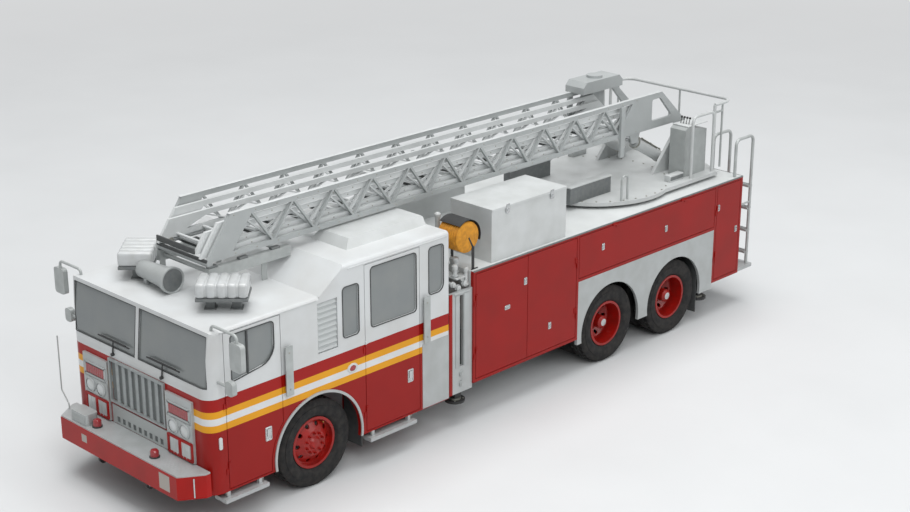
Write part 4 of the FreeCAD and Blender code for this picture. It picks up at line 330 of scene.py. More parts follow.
def slab(shape, x, y, z, edge=0.0, segments=2):
    """Adds a box between three pairs of millimetre measures, its edges rounded by edge."""
    low, high = (at(*ends) for ends in zip(x, y, z))
    sizes = [abs(n) for n in high - low]
    made = bmesh.ops.create_cube(shape, size=1.0, matrix=Matrix.Translation((low + high) / 2)
                                 @ Matrix.Diagonal((*sizes, 1.0)))["verts"]
    if edge:
        edges = list({e for v in made for e in v.link_edges})
        bmesh.ops.bevel(shape, geom=edges, offset=edge / 1000, affect="EDGES", segments=segments,
                        profile=0.5, material=-1)


def slabs(*rows):
    """A new bmesh of slabs, each row with one slab's measures."""
    shape = bmesh.new()
    for row in rows:
        slab(shape, *row)
    return shape


def one_each_side(name, shape, material, owner=""):
    """Makes the left piece and its mirror image, each on its own side's part or on the chassis."""
    for side, sign in SIDES:
        half = shape.copy()
        bmesh.ops.scale(half, vec=(sign, 1, 1), verts=half.verts)
        piece(f"{name}_{side}", half, material, f"{owner}_{side}" if owner else "chassis")
    shape.free()


def plate(shape, corners, radii, depth, width=0.0):
    """Adds a plate with rounded corners, or with a width a frame; corners turn about its outer face."""
    before = set(shape.faces)
    corner_verts = [shape.verts.new(corner) for corner in corners]
    shape.faces.new(corner_verts)
    for vert, radius in zip(corner_verts, radii):
        if radius:
            bmesh.ops.bevel(shape, geom=[vert], offset=radius / 1000, affect="VERTICES", segments=5,
                            profile=0.5, material=-1)
    sheet = [face for face in shape.faces if face not in before]
    outward = sheet[0].normal.copy()
    if width:
        ring = bmesh.ops.inset_region(shape, faces=sheet, thickness=width / 1000, depth=0.0,
                                      use_even_offset=True, use_boundary=True)["faces"]
        bmesh.ops.delete(shape, geom=sheet, context="FACES")
        sheet = ring
    grown = bmesh.ops.extrude_face_region(shape, geom=sheet)["geom"]
    bmesh.ops.translate(shape, verts=[v for v in grown if isinstance(v, bmesh.types.BMVert)],
                        vec=outward * depth / 1000)


def side_plate(shape, x, station, height, half, rise, radius, depth, width=0.0):
    """Adds a plate to the left side's wall, half and rise either way of its middle."""
    low, high = height - rise, height + rise
    plate(shape, side_corners(x, station - half, station + half, low, low, high), (radius,) * 4, depth, width)


def side_corners(x, front, rear, low_front, low_rear, top):
    """Four corners on the left side's wall, turning so that the plate's face looks outwards."""
    return [at(x, front, low_front), at(x, rear, low_rear), at(x, rear, top), at(x, front, top)]


CAB_FACE, SEAL = 1250, 11
# window, door that carries it or none, front, rear, sill in front, sill behind, top, lower rear corner's radius
SIDE_WINDOWS = (("front_door", "front_door", 660, 1230, 1670, 1760, 2190, 170),
                ("middle", "", 2220, 2450, 1700, 1700, 2290, 40),
                ("crew_door", "crew_door", 2640, 3340, 1710, 1710, 2420, 40),
                ("rear", "", 3550, 3780, 1850, 1850, 2420, 90))
for window, owner, front, rear, low_front, low_rear, top, corner in SIDE_WINDOWS:
    seal = bmesh.new()
    plate(seal, side_corners(CAB_FACE - 4, front - SEAL, rear + SEAL, low_front - SEAL, low_rear - SEAL,
                             top + SEAL), (40 + SEAL, corner + SEAL, 40 + SEAL, 40 + SEAL), 10, SEAL)
    if window == "front_door":
        slab(seal, (CAB_FACE - 14, CAB_FACE + 1), (868, 888), (1700, 2190))
        slab(seal, (CAB_FACE - 30, CAB_FACE - 22), (930, 1230), (1960, 1975))
    one_each_side(f"{window}_window_seal", seal, seal_rubber, owner)

LEAN = 70 / 680  # the screen leans back 70 mm over the 680 mm of its height


def screen_at(x, z):
    """Where the windscreen's outer face lies, round the cab's corner too."""
    flat = 330 + max(0.0, z - 1600) * LEAN
    if abs(x) <= 1100:
        return flat
    return max(flat, 480 - math.sqrt(150 ** 2 - (abs(x) - 1100) ** 2))


bead = bmesh.new()
SCREEN_XS = (34, 300, 600, 900, 1100, 1130, 1160, 1180, 1196)
for height in (1660, 2230):
    run = [at(x, screen_at(x, height) + 2, height) for x in SCREEN_XS]
    for start, end in zip(run, run[1:]):
        bar(bead, start, end, 6, 8)
for x in (34, 1196):
    bar(bead, at(x, screen_at(x, 1660) + 2, 1660), at(x, screen_at(x, 2230) + 2, 2230), 6, 8)
piece("windscreen_seals", bead, seal_rubber, both=True)

# Wiper arms: die-cast and powder coated black, with a rubber blade pressed to the glass.
black = finish("black_powder_coat", "chassis_black", ("222324", "2C2C2C", 0.05), rough=0.55)
wipers = bmesh.new()
# blade's two ends and the pivot, all as distances to the left
for inner, outer, pivot in ((-700, -120, -420), (205, 785, 480)):
    blade = [at(x, screen_at(x, 1738) - 13, 1738) for x in (inner, outer)]
    middle = (blade[0] + blade[1]) / 2
    bar(wipers, blade[0], blade[1], 9, 8)
    bar(wipers, blade[0] + Vector((0.06, -0.004, 0.012)), blade[1] - Vector((0.06, 0.004, -0.012)), 7, 8)
    foot = at(pivot, 316, 1585)
    bar(wipers, foot, middle + Vector((0, -0.006, 0.004)), 10, 8, 7)
    bar(wipers, foot + Vector((0, 0.016, 0)), foot + Vector((0, -0.018, 0)), 19, 20)
piece("wipers", wipers, black)

# latch, body, station of its middle, height of its middle
LATCHES = (("front_latch", "front_door", 1116, 916), ("crew_latch", "crew_door", 3240, 932))
for latch, owner, station, height in LATCHES:
    handle = bmesh.new()
    side_plate(handle, CAB_FACE, station, height, 46, 82, 16, 3)
    side_plate(handle, CAB_FACE + 3, station, height, 40, 76, 12, 5, 9)
    slab(handle, (CAB_FACE + 2, CAB_FACE + 15), about(station, 26), (height - 30, height + 60), 5)
    stud(handle, CAB_FACE + 2, CAB_FACE + 10, station, height - 52, 11)
    one_each_side(latch, handle, steel, owner)

# Clear acrylic lamp cover: pale, glassy and faintly milky.
clear_cover = finish("clear_acrylic_cover", "lamp_lens", ("C6CACB", "BDC0BE", 0.08), rough=0.12, ior=1.49,
                     coat=0.6, coat_rough=0.05)
# Red acrylic: deep, glossy and a little lit from within.
red_lens = finish("red_acrylic_lens", "lamp_lens", ("96121A", "84151C", 0.06), rough=0.12, coat=0.7,
                  coat_rough=0.04)
marker = bmesh.new()
side_plate(marker, CAB_FACE - 1, 469, 1020, 21, 70, 18, 12)
one_each_side("corner_lamp", marker, clear_cover)
for part, section, material in (
        ("bezel", [(0, 0), (0, 58), (6, 56), (9, 50), (9, 36), (4, 34), (4, 0)], clear_cover),
        ("lens", [(4, 34), (8, 31), (11, 18), (12, 0)], red_lens)):
    marker = bmesh.new()
    spun(marker, section, Vector(), steps=32)
    bmesh.ops.scale(marker, vec=(1, 1.35, 1), verts=marker.verts)
    bmesh.ops.translate(marker, verts=marker.verts, vec=at(CAB_FACE, 2345, 1304))
    one_each_side(f"side_marker_{part}", marker, material)

# a gutter over each crew door and a drip moulding under the raised roof's edge
gutters = slabs(((CAB_FACE - 2, CAB_FACE + 8), (2300, 3840), (2492, 2504), 3),
                ((CAB_FACE - 2, CAB_FACE + 8), (520, 1840), (2248, 2260), 3))
piece("roof_gutters", gutters, cab_enamel, both=True)


# -------- inside the cab
# Foam seats in vinyl on steel boxes, with woven lap belts bolted down beside them, and a moulded
# dashboard with its dials and switches screwed in and the steering wheel behind it.

# Seat vinyl: dark grey, with a soft sheen over an embossed leather grain of about 3 mm.
vinyl = finish("embossed_seat_vinyl", "seat_vinyl", colour="3A3B3D", rough=0.6)
spot = add(vinyl, "TexCoord", {})["Object"]
grain = add(vinyl, "TexVoronoi", {"Vector": spot, "Scale": 1 / 0.003})
emboss = add(vinyl, "Bump", {"Height": grain["Distance"], "Strength": 0.15, "Distance": 0.001})
feed(vinyl, emboss["Normal"], "Normal")
paint(vinyl, "cab_interior")
SEAT_PADS = ((340, 890, 1262, 1640, 1450), (-890, -340, 1262, 1640, 1450), (-990, -345, 3232, 3660, 1600),
             (-325, 325, 3232, 3660, 1600), (345, 990, 3232, 3660, 1600))
pads, belts = bmesh.new(), bmesh.new()
for inner, outer, front, rear, top in SEAT_PADS:
    slab(pads, (inner, outer), (front, rear - 10), (top - 20, top + 28), 16, 3)
    slab(pads, (inner + 10, outer - 10), (rear - 34, rear + 20), (top + 60, top + 560), 16, 3)
    middle = (inner + outer) / 2
    slab(pads, about(middle, 130), (rear - 44, rear + 22), (top + 575, top + 622), 14, 3)
    slab(belts, (inner + 40, inner + 88), (front + 20, rear - 40), (top + 28, top + 31))
    slab(belts, (inner + 34, inner + 94), (front + 60, front + 130), (top + 30, top + 42), 3)
piece("seat_pads", pads, vinyl)
# Woven polyester belt: red-orange, matt.
belt_weave = finish("woven_polyester_belt", "seat_vinyl", ("A3431F", "8F3F22", 0.05), rough=0.85)
piece("seat_belts", belts, belt_weave)
dash = bmesh.new()
for x in range(380, 781, 80):
    bar(dash, at(x, 672, 1487), at(x, 660, 1483), 32, 28)
for x in range(-240, 167, 58):
    slab(dash, (x, x + 36), (668, 684), (1462, 1486), 3)
BACK = (0, 1, 0)
spun(dash, [(-14, 214), (0, 226), (14, 214), (0, 202), (-14, 214)], at(600, 845, 1500), BACK)
piece("dash_fittings", dash, black)


# -------- front end
# A red steel bumper with a treadplate deck, a pressed grille, a slotted lower panel and a stack
# of lamps in pale bezels on either side. Siren lamps and a loudspeaker stand on the deck.


def colour_of(material):
    """What the material's own surface shader takes its colour from so far."""
    return material.node_tree.nodes["Principled BSDF"].inputs["Base Color"].links[0].from_socket


# Bumper enamel: the cab's lower red, glossy.
bumper_red = finish("red_bumper_enamel", "body_red", **GLOSSY)
x, _, z = add(bumper_red, "SeparateXYZ", {"Vector": dusted(bumper_red, "A30E08", "92120B", 0.3)})
# two blank plates are masked off the enamel: middle, half the width, height, half the height in metres
for middle, half, height, rise in ((0.863, 0.092, 0.602, 0.092), (-0.627, 0.050, 0.606, 0.046)):
    across = add(bumper_red, "Math", {0: x, 1: middle, 2: half}, operation="COMPARE")["Value"]
    upright = add(bumper_red, "Math", {0: z, 1: height, 2: rise}, operation="COMPARE")["Value"]
    blank = add(bumper_red, "Math", {0: across, 1: upright}, operation="MULTIPLY")["Value"]
    masked = add(bumper_red, "MixRGB", {"Fac": blank, "Color1": colour_of(bumper_red), "Color2": "A9A29B"})
    feed(bumper_red, masked["Color"])
paint(bumper_red, "front_bumper")

# Treadplate: rolled aluminium with raised lozenges at a 40 mm pitch that catch the light.
treadplate = finish("rolled_aluminium_treadplate", "tread_aluminium", ("B2B5B6", "A3A6A5", 0.2), metal=0.3,
                    rough=0.45)
spot = add(treadplate, "TexCoord", {})["Object"]
ridges = [add(treadplate, "TexWave", {"Vector": add(treadplate, "Mapping", {
    "Vector": spot, "Rotation": (0.0, 0.0, math.radians(turn))})["Vector"], "Scale": 1.25 / 0.16},
    bands_direction="X")["Fac"] for turn in (45, -45)]
lozenge = add(treadplate, "Math", {0: ridges[0], 1: ridges[1]}, operation="MULTIPLY")["Value"]
raised = add(treadplate, "Bump", {"Height": lozenge, "Strength": 0.5, "Distance": 0.002})
feed(treadplate, raised["Normal"], "Normal")
paint(treadplate, "tread_plates")

# Brushed panel: satin aluminium sheet, pale and half bright, with a fine grain along its length.
panel = finish("brushed_aluminium_panel", "bright_steel", ("B0B4B4", "A5A8A7", 0.2), metal=0.3, rough=0.42)
paint(panel, "lamp_panels", "side_panels")
# Grille pressing: satin aluminium, its bars a tone darker than the slotted panel below them and darker still
# than the vents in the cab's sides, whose pale tone is partly the panel's own and partly painted light that
# lifts the shade between their slats.
pressing = finish("pressed_aluminium_grille", "chassis_black", metal=0.3, rough=0.5)
x, y, z = add(pressing, "SeparateXYZ", {"Vector": dusted(pressing, "9BA0A0", "8B9090", 0.06)})
# the lower panel's paler tone, then the vents' paler tone, which is partly painted light over their slats'
# shade
for reach, limit, rule, code in ((z, 0.98, "LESS_THAN", "B0B4B3"), (y, -4.0, "GREATER_THAN", "B4B8B8")):
    test = add(pressing, "Math", {0: reach, 1: limit}, operation=rule)["Value"]
    tone = add(pressing, "MixRGB", {"Fac": test, "Color1": colour_of(pressing), "Color2": code})
    feed(pressing, tone["Color"])
paint(pressing, "grille")
# Radiator core: finned aluminium sprayed grey, a dull even mass behind the bars, fins every 12 mm.
core_grey = finish("grey_radiator_core", "chassis_black", rough=0.7)
spot = add(core_grey, "TexCoord", {})["Object"]
fins = add(core_grey, "TexWave", {"Vector": spot, "Scale": 0.314 / 0.012}, bands_direction="X")
fin_color = add(core_grey, "ValToRGB", {"Fac": fins["Fac"]}, stops=((0.2, "5E6262"), (0.8, "747878")))
feed(core_grey, fin_color["Color"])
core = slabs(((-482, 482), (332, 392), (1028, 1497)), ((-482, 482), (332, 392), (760, 839)))
piece("radiator_core", core, core_grey)

LAMP_X, LAMP_Y = 770, 300
AHEAD, UPWARDS = (0, -1, 0), (0, 0, 1)


def lamp_plate(shape, half, low, high, radius, depth, width=0.0, behind=0):
    """Adds a plate at the lamps' panel, half either way of its middle."""
    inner, outer = about(LAMP_X, half)
    station = LAMP_Y + behind
    plate(shape, [at(outer, station, high), at(inner, station, high), at(inner, station, low),
                  at(outer, station, low)], (radius,) * 4, depth, width)


bezels, reds, clears, bowls = (bmesh.new() for _ in range(4))
lamp_plate(bezels, 205, 1205, 1375, 14, 8, 33)
lamp_plate(bezels, 222, 1002, 1192, 14, 6)
lamp_plate(reds, 170, 1228, 1352, 10, 28, behind=20)
for x in range(LAMP_X - 144, LAMP_X + 145, 36):
    slab(reds, about(x, 3), (LAMP_Y - 10, LAMP_Y - 6), (1234, 1346))
for offset in (-100, 100):
    middle = at(LAMP_X + offset, LAMP_Y, 1095)
    spun(bezels, [(22, 84), (16, 90), (6, 90), (6, 76), (22, 74), (22, 84)], middle, AHEAD, 40)
    spun(clears, [(4, 74), (12, 72), (20, 58), (25, 34), (27, 0)], middle, AHEAD, 40)
    spun(bowls, [(4, 73), (-8, 60), (-18, 34), (-21, 0)], middle, AHEAD, 32)
surround = bmesh.new()
lamp_plate(surround, 225, 755, 985, 20, 9, 34)
slab(surround, about(LAMP_X, 26), (LAMP_Y - 12, LAMP_Y), (770, 970), 4)
piece("signal_frames", surround, bumper_red, both=True)
lamp_plate(clears, 170, 767, 957, 12, 27, behind=20)
for x in (LAMP_X - 112, LAMP_X - 56, LAMP_X + 56, LAMP_X + 112):
    slab(clears, about(x, 4), (LAMP_Y - 10, LAMP_Y - 6), (775, 950))
on_both_sides(reds)
piece("lamp_bezels", bezels, panel, both=True)
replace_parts(piece("clear_lenses", clears, clear_cover, both=True), "lamps")
piece("lamp_bowls", bowls, steel, both=True)
feet, slats = bmesh.new(), bmesh.new()
for sign in (1, -1):
    foot = at(sign * 535, 125, 740.3)
    spun(reds, [(10, 0), (10, 50), (70, 48), (86, 38), (94, 18), (95, 0)], foot, UPWARDS, 36)
    spun(feet, [(0, 0), (0, 58), (12, 58), (16, 51), (16, 0)], foot, UPWARDS, 36)
piece("red_lenses", reds, red_lens)
for height in range(768, 841, 18):
    slab(slats, (-900, -630), (26.5, 31), (height, height + 8), 1)
piece("lamp_feet", feet, black)
piece("speaker_slats", slats, pressing)

trim = bmesh.new()
for x in (-565, 565):
    slab(trim, about(x, 5), (40, 56), (470, 706), 2)
for sign in (1, -1):
    stud(trim, sign * 442, sign * 470, 90, 395, 20, 24)
    bar(trim, at(sign * 1180, 152, 478), at(sign * 1180, 152, 702), 9)
piece("bumper_trim", trim, steel)


# -------- roof lights and cradle
# A five-lens light box stands on feet at each front corner of the roof, with a siren between them
# and the ladder's cradle behind. The boxes are moulded covers over a dark cast base.

# Moulded cover: milky polycarbonate, pale grey and glossy, one colour when the lamps are off.
milky_cover = finish("milky_polycarbonate_cover", "lamp_lens", ("BFC2C3", "B4B6B5", 0.1), rough=0.22, coat=0.4)
# Cast alloy: mid grey, sand-cast and lacquered, with a slightly rough skin.
alloy = finish("lacquered_cast_alloy", "rail_grey", ("6F7374", "7C7E7D", 0.05), metal=0.5, rough=0.5)
BOX_HALF, LENS_PITCH, ROOF_TOP, SIREN = 280, 112, 2280.5, (850, 2430.3)
for side, sign in SIDES:
    covers, base = bmesh.new(), bmesh.new()
    middle = at(0, HALF_LENGTH, 2410)
    for x in range(-BOX_HALF, BOX_HALF, LENS_PITCH):
        slab(covers, (x + 2, x + LENS_PITCH - 2), about(HALF_LENGTH, 195), (2448, 2614), 34, 3)
    slab(covers, about(0, BOX_HALF - 8), about(HALF_LENGTH, 180), (2446, 2600), 40, 3)
    slab(base, about(0, BOX_HALF), about(HALF_LENGTH, 192), (2411, 2450), 8)
    for x in (-140, 140):
        slab(base, about(x, 50), about(HALF_LENGTH, 50), (ROOF_TOP, 2415), 6)
        slab(base, about(x, 68), about(HALF_LENGTH, 68), (ROOF_TOP, 2292), 4)
    for shape in (covers, base):
        bmesh.ops.rotate(shape, verts=shape.verts, cent=middle,
                         matrix=Matrix.Rotation(sign * math.radians(45), 3, "Z"))
        bmesh.ops.translate(shape, verts=shape.verts, vec=at(sign * 760, 975, 2410) - middle)
    lenses = piece(f"light_box_{side}", covers, milky_cover, bend=50)
    piece(f"light_box_base_{side}", base, alloy)
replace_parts(lenses, "roof_lights")
siren = bmesh.new()
spun(siren, [(0, 0), (0, 96), (10, 100), (150, 104), (430, 124), (500, 135), (505, 148), (535, 150), (560, 150),
             (560, 138), (552, 134), (548, 0)], at(-520, *SIREN), steps=56)
for x in (-420, -60):
    slab(siren, about(x, 30), (800, 900), (ROOF_TOP, 2340), 6)
piece("roof_siren", siren, panel)
face = bmesh.new()
spun(face, [(0, 0), (0, 128), (6, 128), (8, 120), (8, 60), (11, 54), (11, 0)], at(29, *SIREN), steps=48)
piece("siren_face", face, alloy)

# Satin rail: seamless aluminium tube, pale grey, scuffed to a soft sheen by hands and boots.
satin_rail = finish("satin_aluminium_rail", "rail_grey", ("AEB2B1", "9FA3A2", 0.12), metal=0.25, rough=0.42)
paint(satin_rail, "rails_and_mirrors")
# Silvered glass: a clean mirror.
mirror_glass = finish("silvered_mirror_glass", "window_glass", ("D5D8D9", "C9CBCA", 0.1), metal=1.0, rough=0.03)
mirrors = bmesh.new()
for x, half, low, high in ((1600, 80, 1965, 2245), (1470, 48, 1652, 1788)):
    plate(mirrors, [at(x - half, 504, low), at(x - half, 504, high), at(x + half, 504, high),
                    at(x + half, 504, low)], (28,) * 4, 4)
piece("mirror_glasses", mirrors, mirror_glass, both=True)
pads = slabs(*(((410, 465), about(station, 60), (2619, 2646), 5) for station in (1080, 1500, 1950)))
piece("cradle_pads", pads, alloy, both=True)


# -------- equipment body
# A folded aluminium body with hinged locker doors, a shutter at the back and a pale non-slip deck.
# It is enamelled red outside and left bare inside. Latches, moulding, shutter and lamps are added.

# Body enamel: glossy dark red outside; the deck, the front wall and the lockers' insides are pale metal.
WORN_GLOSS = dict(rough=0.34, shine=0.2, coat=0.08, coat_rough=0.14)
body_enamel = finish("red_body_enamel", "body_red", **WORN_GLOSS)
spot = add(body_enamel, "TexCoord", {})["Object"]
x, y, z = add(body_enamel, "SeparateXYZ", {"Vector": spot})
within = add(body_enamel, "Math", {0: x}, operation="ABSOLUTE")["Value"]
inside = add(body_enamel, "Math", {0: within, 1: 1.225}, operation="LESS_THAN")["Value"]
for reach, limit, rule in ((y, 4.66, "LESS_THAN"), (y, -0.76, "GREATER_THAN")):
    test = add(body_enamel, "Math", {0: reach, 1: limit}, operation=rule)["Value"]
    inside = add(body_enamel, "Math", {0: inside, 1: test}, operation="MULTIPLY")["Value"]
deck = add(body_enamel, "Math", {0: z, 1: 1.946}, operation="GREATER_THAN")["Value"]
bare = add(body_enamel, "Math", {0: inside, 1: deck}, operation="MAXIMUM")["Value"]
colour = add(body_enamel, "MixRGB", {"Fac": bare, "Color1": patchy(body_enamel, spot, "8F100A", "84130D", 0.4),
                                     "Color2": patchy(body_enamel, spot, "CFD2D2", "C3C6C5", 0.4)})
feed(body_enamel, colour["Color"])
paint(body_enamel, "body_shell")

# Door enamel: the same red on the doors, glossy, very slightly faded in patches.
door_enamel = finish("red_door_enamel", "body_red", ("92100A", "86130D", 0.4), **WORN_GLOSS)
for side, sign in SIDES:
    paint(door_enamel, *(f"locker_door_{number}_{side}" for number in range(1, 5)))

BODY_FACE = 1270
# door, station and height of the middle, half the width and half the height
LATCH_PLATES = ((1, 5188, 1587, 28, 48), (1, 4866, 1333, 48, 28), (2, 5653, 865, 28, 46),
                (3, 6670, 1662, 28, 46), (3, 7986, 1589, 28, 46), (4, 9162, 1603, 28, 46),
                (4, 9597, 1200, 28, 46))
for number, (door, station, height, half, rise) in enumerate(LATCH_PLATES):
    latch = bmesh.new()
    side_plate(latch, BODY_FACE, station, height, half, rise, 14, 4)
    side_plate(latch, BODY_FACE + 4, station, height, half - 8, rise - 8, 10, 7, 8)
    stud(latch, BODY_FACE + 3, BODY_FACE + 11, station, height, 9, 20)
    one_each_side(f"locker_latch_{number}", latch, steel, f"locker_door_{door}")

moulding = slabs(((BODY_FACE - 10, BODY_FACE + 5), (4272, 9708), (1934, 1953), 3))
on_both_sides(moulding)
slab(moulding, (-BODY_FACE, BODY_FACE), (9700, 9714), (1934, 1953), 3)
piece("deck_moulding", moulding, alloy)

panel_edge = slabs(((BODY_FACE - 21, BODY_FACE - 15), (3876, 3932), (452, 1748), 2))
piece("panel_edge", panel_edge, door_enamel, both=True)
strips = bmesh.new()
for start, end in ((3985, 4052), (4128, 4205)):
    slab(strips, (BODY_FACE - 21, BODY_FACE - 13), (start, end), (780, 1712), 3)
slab(strips, (BODY_FACE - 24, BODY_FACE - 10), (3960, 4230), (1716, 1746), 4)
for height in (560, 690):
    stud(strips, BODY_FACE - 21, BODY_FACE - 6, 4090, height, 42, 32)
    stud(strips, BODY_FACE - 8, BODY_FACE + 4, 4090, height, 30, 6)
piece("panel_strips", strips, panel, both=True)

# the roller shutter's slats, in their guides and under their box
SLAT_PITCH = 40
shutter = slabs(*(((-640, 640), (9708, 9722), (low, low + SLAT_PITCH - 5), 5)
                  for low in range(640, 1761, SLAT_PITCH)),
                ((-676, -644), (9708, 9734), (610, 1840), 4), ((644, 676), (9708, 9734), (610, 1840), 4),
                ((-676, 676), (9708, 9736), (1800, 1856), 6))
stud(shutter, -240, 240, 9740, 700, 11)
for x in (-240, 240):
    bar(shutter, at(x, 9722, 700), at(x, 9740, 700), 14)
piece("rear_shutter", shutter, panel)

lenses, rings = bmesh.new(), bmesh.new()
for height in (1760, 1600, 1440):
    spot = at(760, 9710, height)
    spun(rings, [(0, 74), (9, 72), (12, 66), (12, 62), (0, 62)], spot, BACK, 36)
    spun(lenses, [(2, 62), (12, 60), (20, 44), (23, 0)], spot, BACK, 36)
piece("tail_lamp_bezels", rings, steel, both=True)
piece("tail_lamp_lenses", lenses, red_lens, both=True)

# the mudflaps are ribbed on their backs
paint(seal_rubber, "mudflaps")
ribs = slabs(*(((x, x + 16), y, z, 1) for x in range(930, 1161, 46)
               for y, z in (((2512, 2517), (290, 1060)), ((8795.5, 8800), (200, 1180)))))
piece("mudflap_ribs", ribs, seal_rubber, both=True)


# -------- deck equipment
# Two aluminium equipment boxes with lifting lids, an air unit on the raised roof, and between the
# cab and the body a booster hose wound on its reel under a black hood, with capped water pipes.

# Etched aluminium: bare sheet, pale and matt, its folds worn a little brighter.
etched_sheet = finish("etched_aluminium_sheet", "ladder_grey", ("C8CBCB", "BBBEBD", 0.25), metal=0.15,
                      rough=0.5)
paint(etched_sheet, "equipment_boxes")
clasps = bmesh.new()
for station in (4900, 5700):
    slab(clasps, (1229, 1239), about(station, 30), (2530, 2640), 3)
    slab(clasps, (1235, 1246), about(station, 16), (2545, 2580), 3)
for station in (4760, 5305, 5850):
    slab(clasps, (532, 541), about(station, 45), (2560, 2600), 3)
piece("box_latches", clasps, steel, both=True)

# Woven hose jacket: yellow-orange synthetic yarn round rubber, matt, its turns 36 mm apart.
hose_jacket = finish("woven_hose_jacket", "drum_orange", ("CF8E22", "A8701E", 0.05), rough=0.75)
REEL, REEL_IN, REEL_OUT, HOSE_PITCH = (4240, 2370), 876, 1204, 36
turns = []
for x in range(6, 6 + 9 * HOSE_PITCH, HOSE_PITCH):
    turns += [(x, 176), (x + 9, 188), (x + 18, 192), (x + 27, 188)]
rim = turns[-1][0] + 9
reel, hood = bmesh.new(), bmesh.new()
centre = at(REEL_IN, *REEL)
spun(reel, [(6, 0), (2, 70), (4, 164), *turns, (rim, 174), (rim + 8, 148), (rim + 12, 70), (rim + 13, 0)],
     centre, steps=56)
piece("booster_hose", reel, hose_jacket)
band = [hood.verts.new(centre + Vector((along, 0, 216)) / 1000) for along in (-4, REEL_OUT - REEL_IN + 6)]
edge = [hood.edges.new(band)]
bmesh.ops.rotate(hood, verts=band, cent=centre, matrix=Matrix.Rotation(math.radians(40), 3, "X"))
bmesh.ops.spin(hood, geom=band + edge, cent=centre, axis=(1, 0, 0), angle=-math.radians(150), steps=28,
               use_merge=False, use_duplicate=False)
bmesh.ops.solidify(hood, geom=hood.faces[:], thickness=0.006)
for x in (REEL_IN - 16, REEL_OUT + 4):
    slab(hood, (x, x + 10), (4296, 4340), (1951, 2240), 3)
    slab(hood, (x, x + 10), (4290, 4400), (1951, 1965), 3)
    bar(hood, at(x + 4, *REEL), at(x + 4, 4318, 2230), 13, 12)
stud(hood, REEL_IN - 14, REEL_OUT + 12, *REEL, 24, 24)
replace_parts(piece("reel_hood", hood, black), "hose_drum")

# Painted pipework: cast fittings and steel pipe in pale grey enamel, a little uneven at the joints.
pipe_grey = finish("pale_grey_pipe_enamel", "rail_grey", ("B9BCBC", "A5A7A5", 0.08), rough=0.4, coat=0.3)
pipes = bmesh.new()
# distance out, station, foot, top and radius of each upright pipe
for x, station, low, high, radius in ((790, 4150, 1852, 2610, 30), (905, 3952, 1852, 2470, 26),
                                      (1060, 4180, 1900, 2110, 34), (1150, 4075, 1900, 2060, 28),
                                      (950, 4240, 1770, 2070, 30), (1195, 4215, 1770, 2010, 24)):
    foot = at(x, station, low)
    tall = high - low
    spun(pipes, [(0, 0), (0, radius), (tall - 60, radius), (tall - 58, radius + 9), (tall - 22, radius + 9),
                 (tall - 8, radius), (tall, radius / 2), (tall + 2, 0)], foot, UPWARDS, 28)
    spun(pipes, [(20, radius), (20, radius + 14), (36, radius + 14), (36, radius)], foot, UPWARDS, 28)
stud(pipes, 770, 1200, 4150, 1880, 30, 24)
bar(pipes, at(905, 4150, 1880), at(905, 3952, 1880), 24, 24)
slab(pipes, (1010, 1215), (4040, 4230), (1884, 1906), 6)
# station, height and radius of each cross pipe; its outer end has a flange and a domed cap
for station, height, radius in ((4205, 1806, 36), (4090, 1770, 30), (4010, 1828, 24)):
    spun(pipes, [(0, 0), (0, radius), (300, radius), (300, radius + 14), (316, radius + 14), (320, radius + 6),
                 (338, radius + 6), (350, radius / 2), (352, 0)], at(870, station, height), steps=28)
piece("pump_pipes", pipes, pipe_grey)


# -------- steps and deck rails
# Treadplate steps on straps, grab bars by the doors and hooped ladders up to the deck, each bolted
# through a flange. The bolt heads and the grips on the rear ladders' rungs are added.

bolts = bmesh.new()
for station in (520, 1010, 2610, 3240):
    for height in (400, 424):
        stud(bolts, 1250, 1255, station, height, 9, 6)
for station in (1400, 3475):
    for height in (1360, 1785):
        stud(bolts, 1299, 1305, station, height, 10, 6)
piece("step_bolts", bolts, zinc, both=True)
treads = slabs(*(((862, 1190), (station, station + 10), (height - 1, height + 4), 1)
                 for height in range(756, 1747, 330) for station in range(9946, 10013, 22)))
piece("ladder_tread_grips", treads, panel, both=True)


# -------- turntable
# A steel slew plate with a working platform, guard rails and a control console, which turns on a
# ball ring bolted to the body. It is enamelled pale grey and carries levers, dials and a step.

# Turntable enamel: pale grey, satin, a little soiled underfoot.
turntable_grey = finish("pale_grey_turntable_enamel", "ladder_grey", ("BCBFBF", "AEB1B0", 0.3), rough=0.42,
                        coat=0.2)
paint(turntable_grey, "turntable")
# Console enamel: the same grey a shade deeper, satin, rubbed by gloves.
console_grey = finish("grey_console_enamel", "ladder_grey", ("A0A4A3", "939796", 0.15), rough=0.45, coat=0.15)
paint(console_grey, "console")
# a step box along either side of the ladder with a lip round its top, and a low block further back; both have
# pale tops over sides in a darker grey, which is painted shade
step_sides_painted_shade = slabs(((480, 596), (6790, 7618), (2036, 2262), 5), ((836, 923), (8500, 8780), (2060, 2112), 3))
step_tops = slabs(((468, 608), (6780, 7630), (2258, 2276), 5), ((820, 920), (8490, 8790), (2034, 2130), 8))
# the sides take the darker alloy grey as painted shade, the tops the pale turntable grey
piece("turntable_step_sides", step_sides_painted_shade, alloy, "turntable", both=True)
piece("turntable_step_tops", step_tops, turntable_grey, "turntable", both=True)


def ball(shape, centre, radius):
    """Adds a ball of a radius in metres."""
    bmesh.ops.create_uvsphere(shape, u_segments=16, v_segments=10, radius=radius,
                              matrix=Matrix.Translation(centre))


def tube(shape, *path):
    """Adds a grab rail of 30 mm tube along a path, its bends filled by balls."""
    points = [at(*spot) for spot in path]
    for start, end in zip(points, points[1:]):
        bar(shape, start, end, 15)
    for spot in points[1:-1]:
        ball(shape, spot, 0.015)


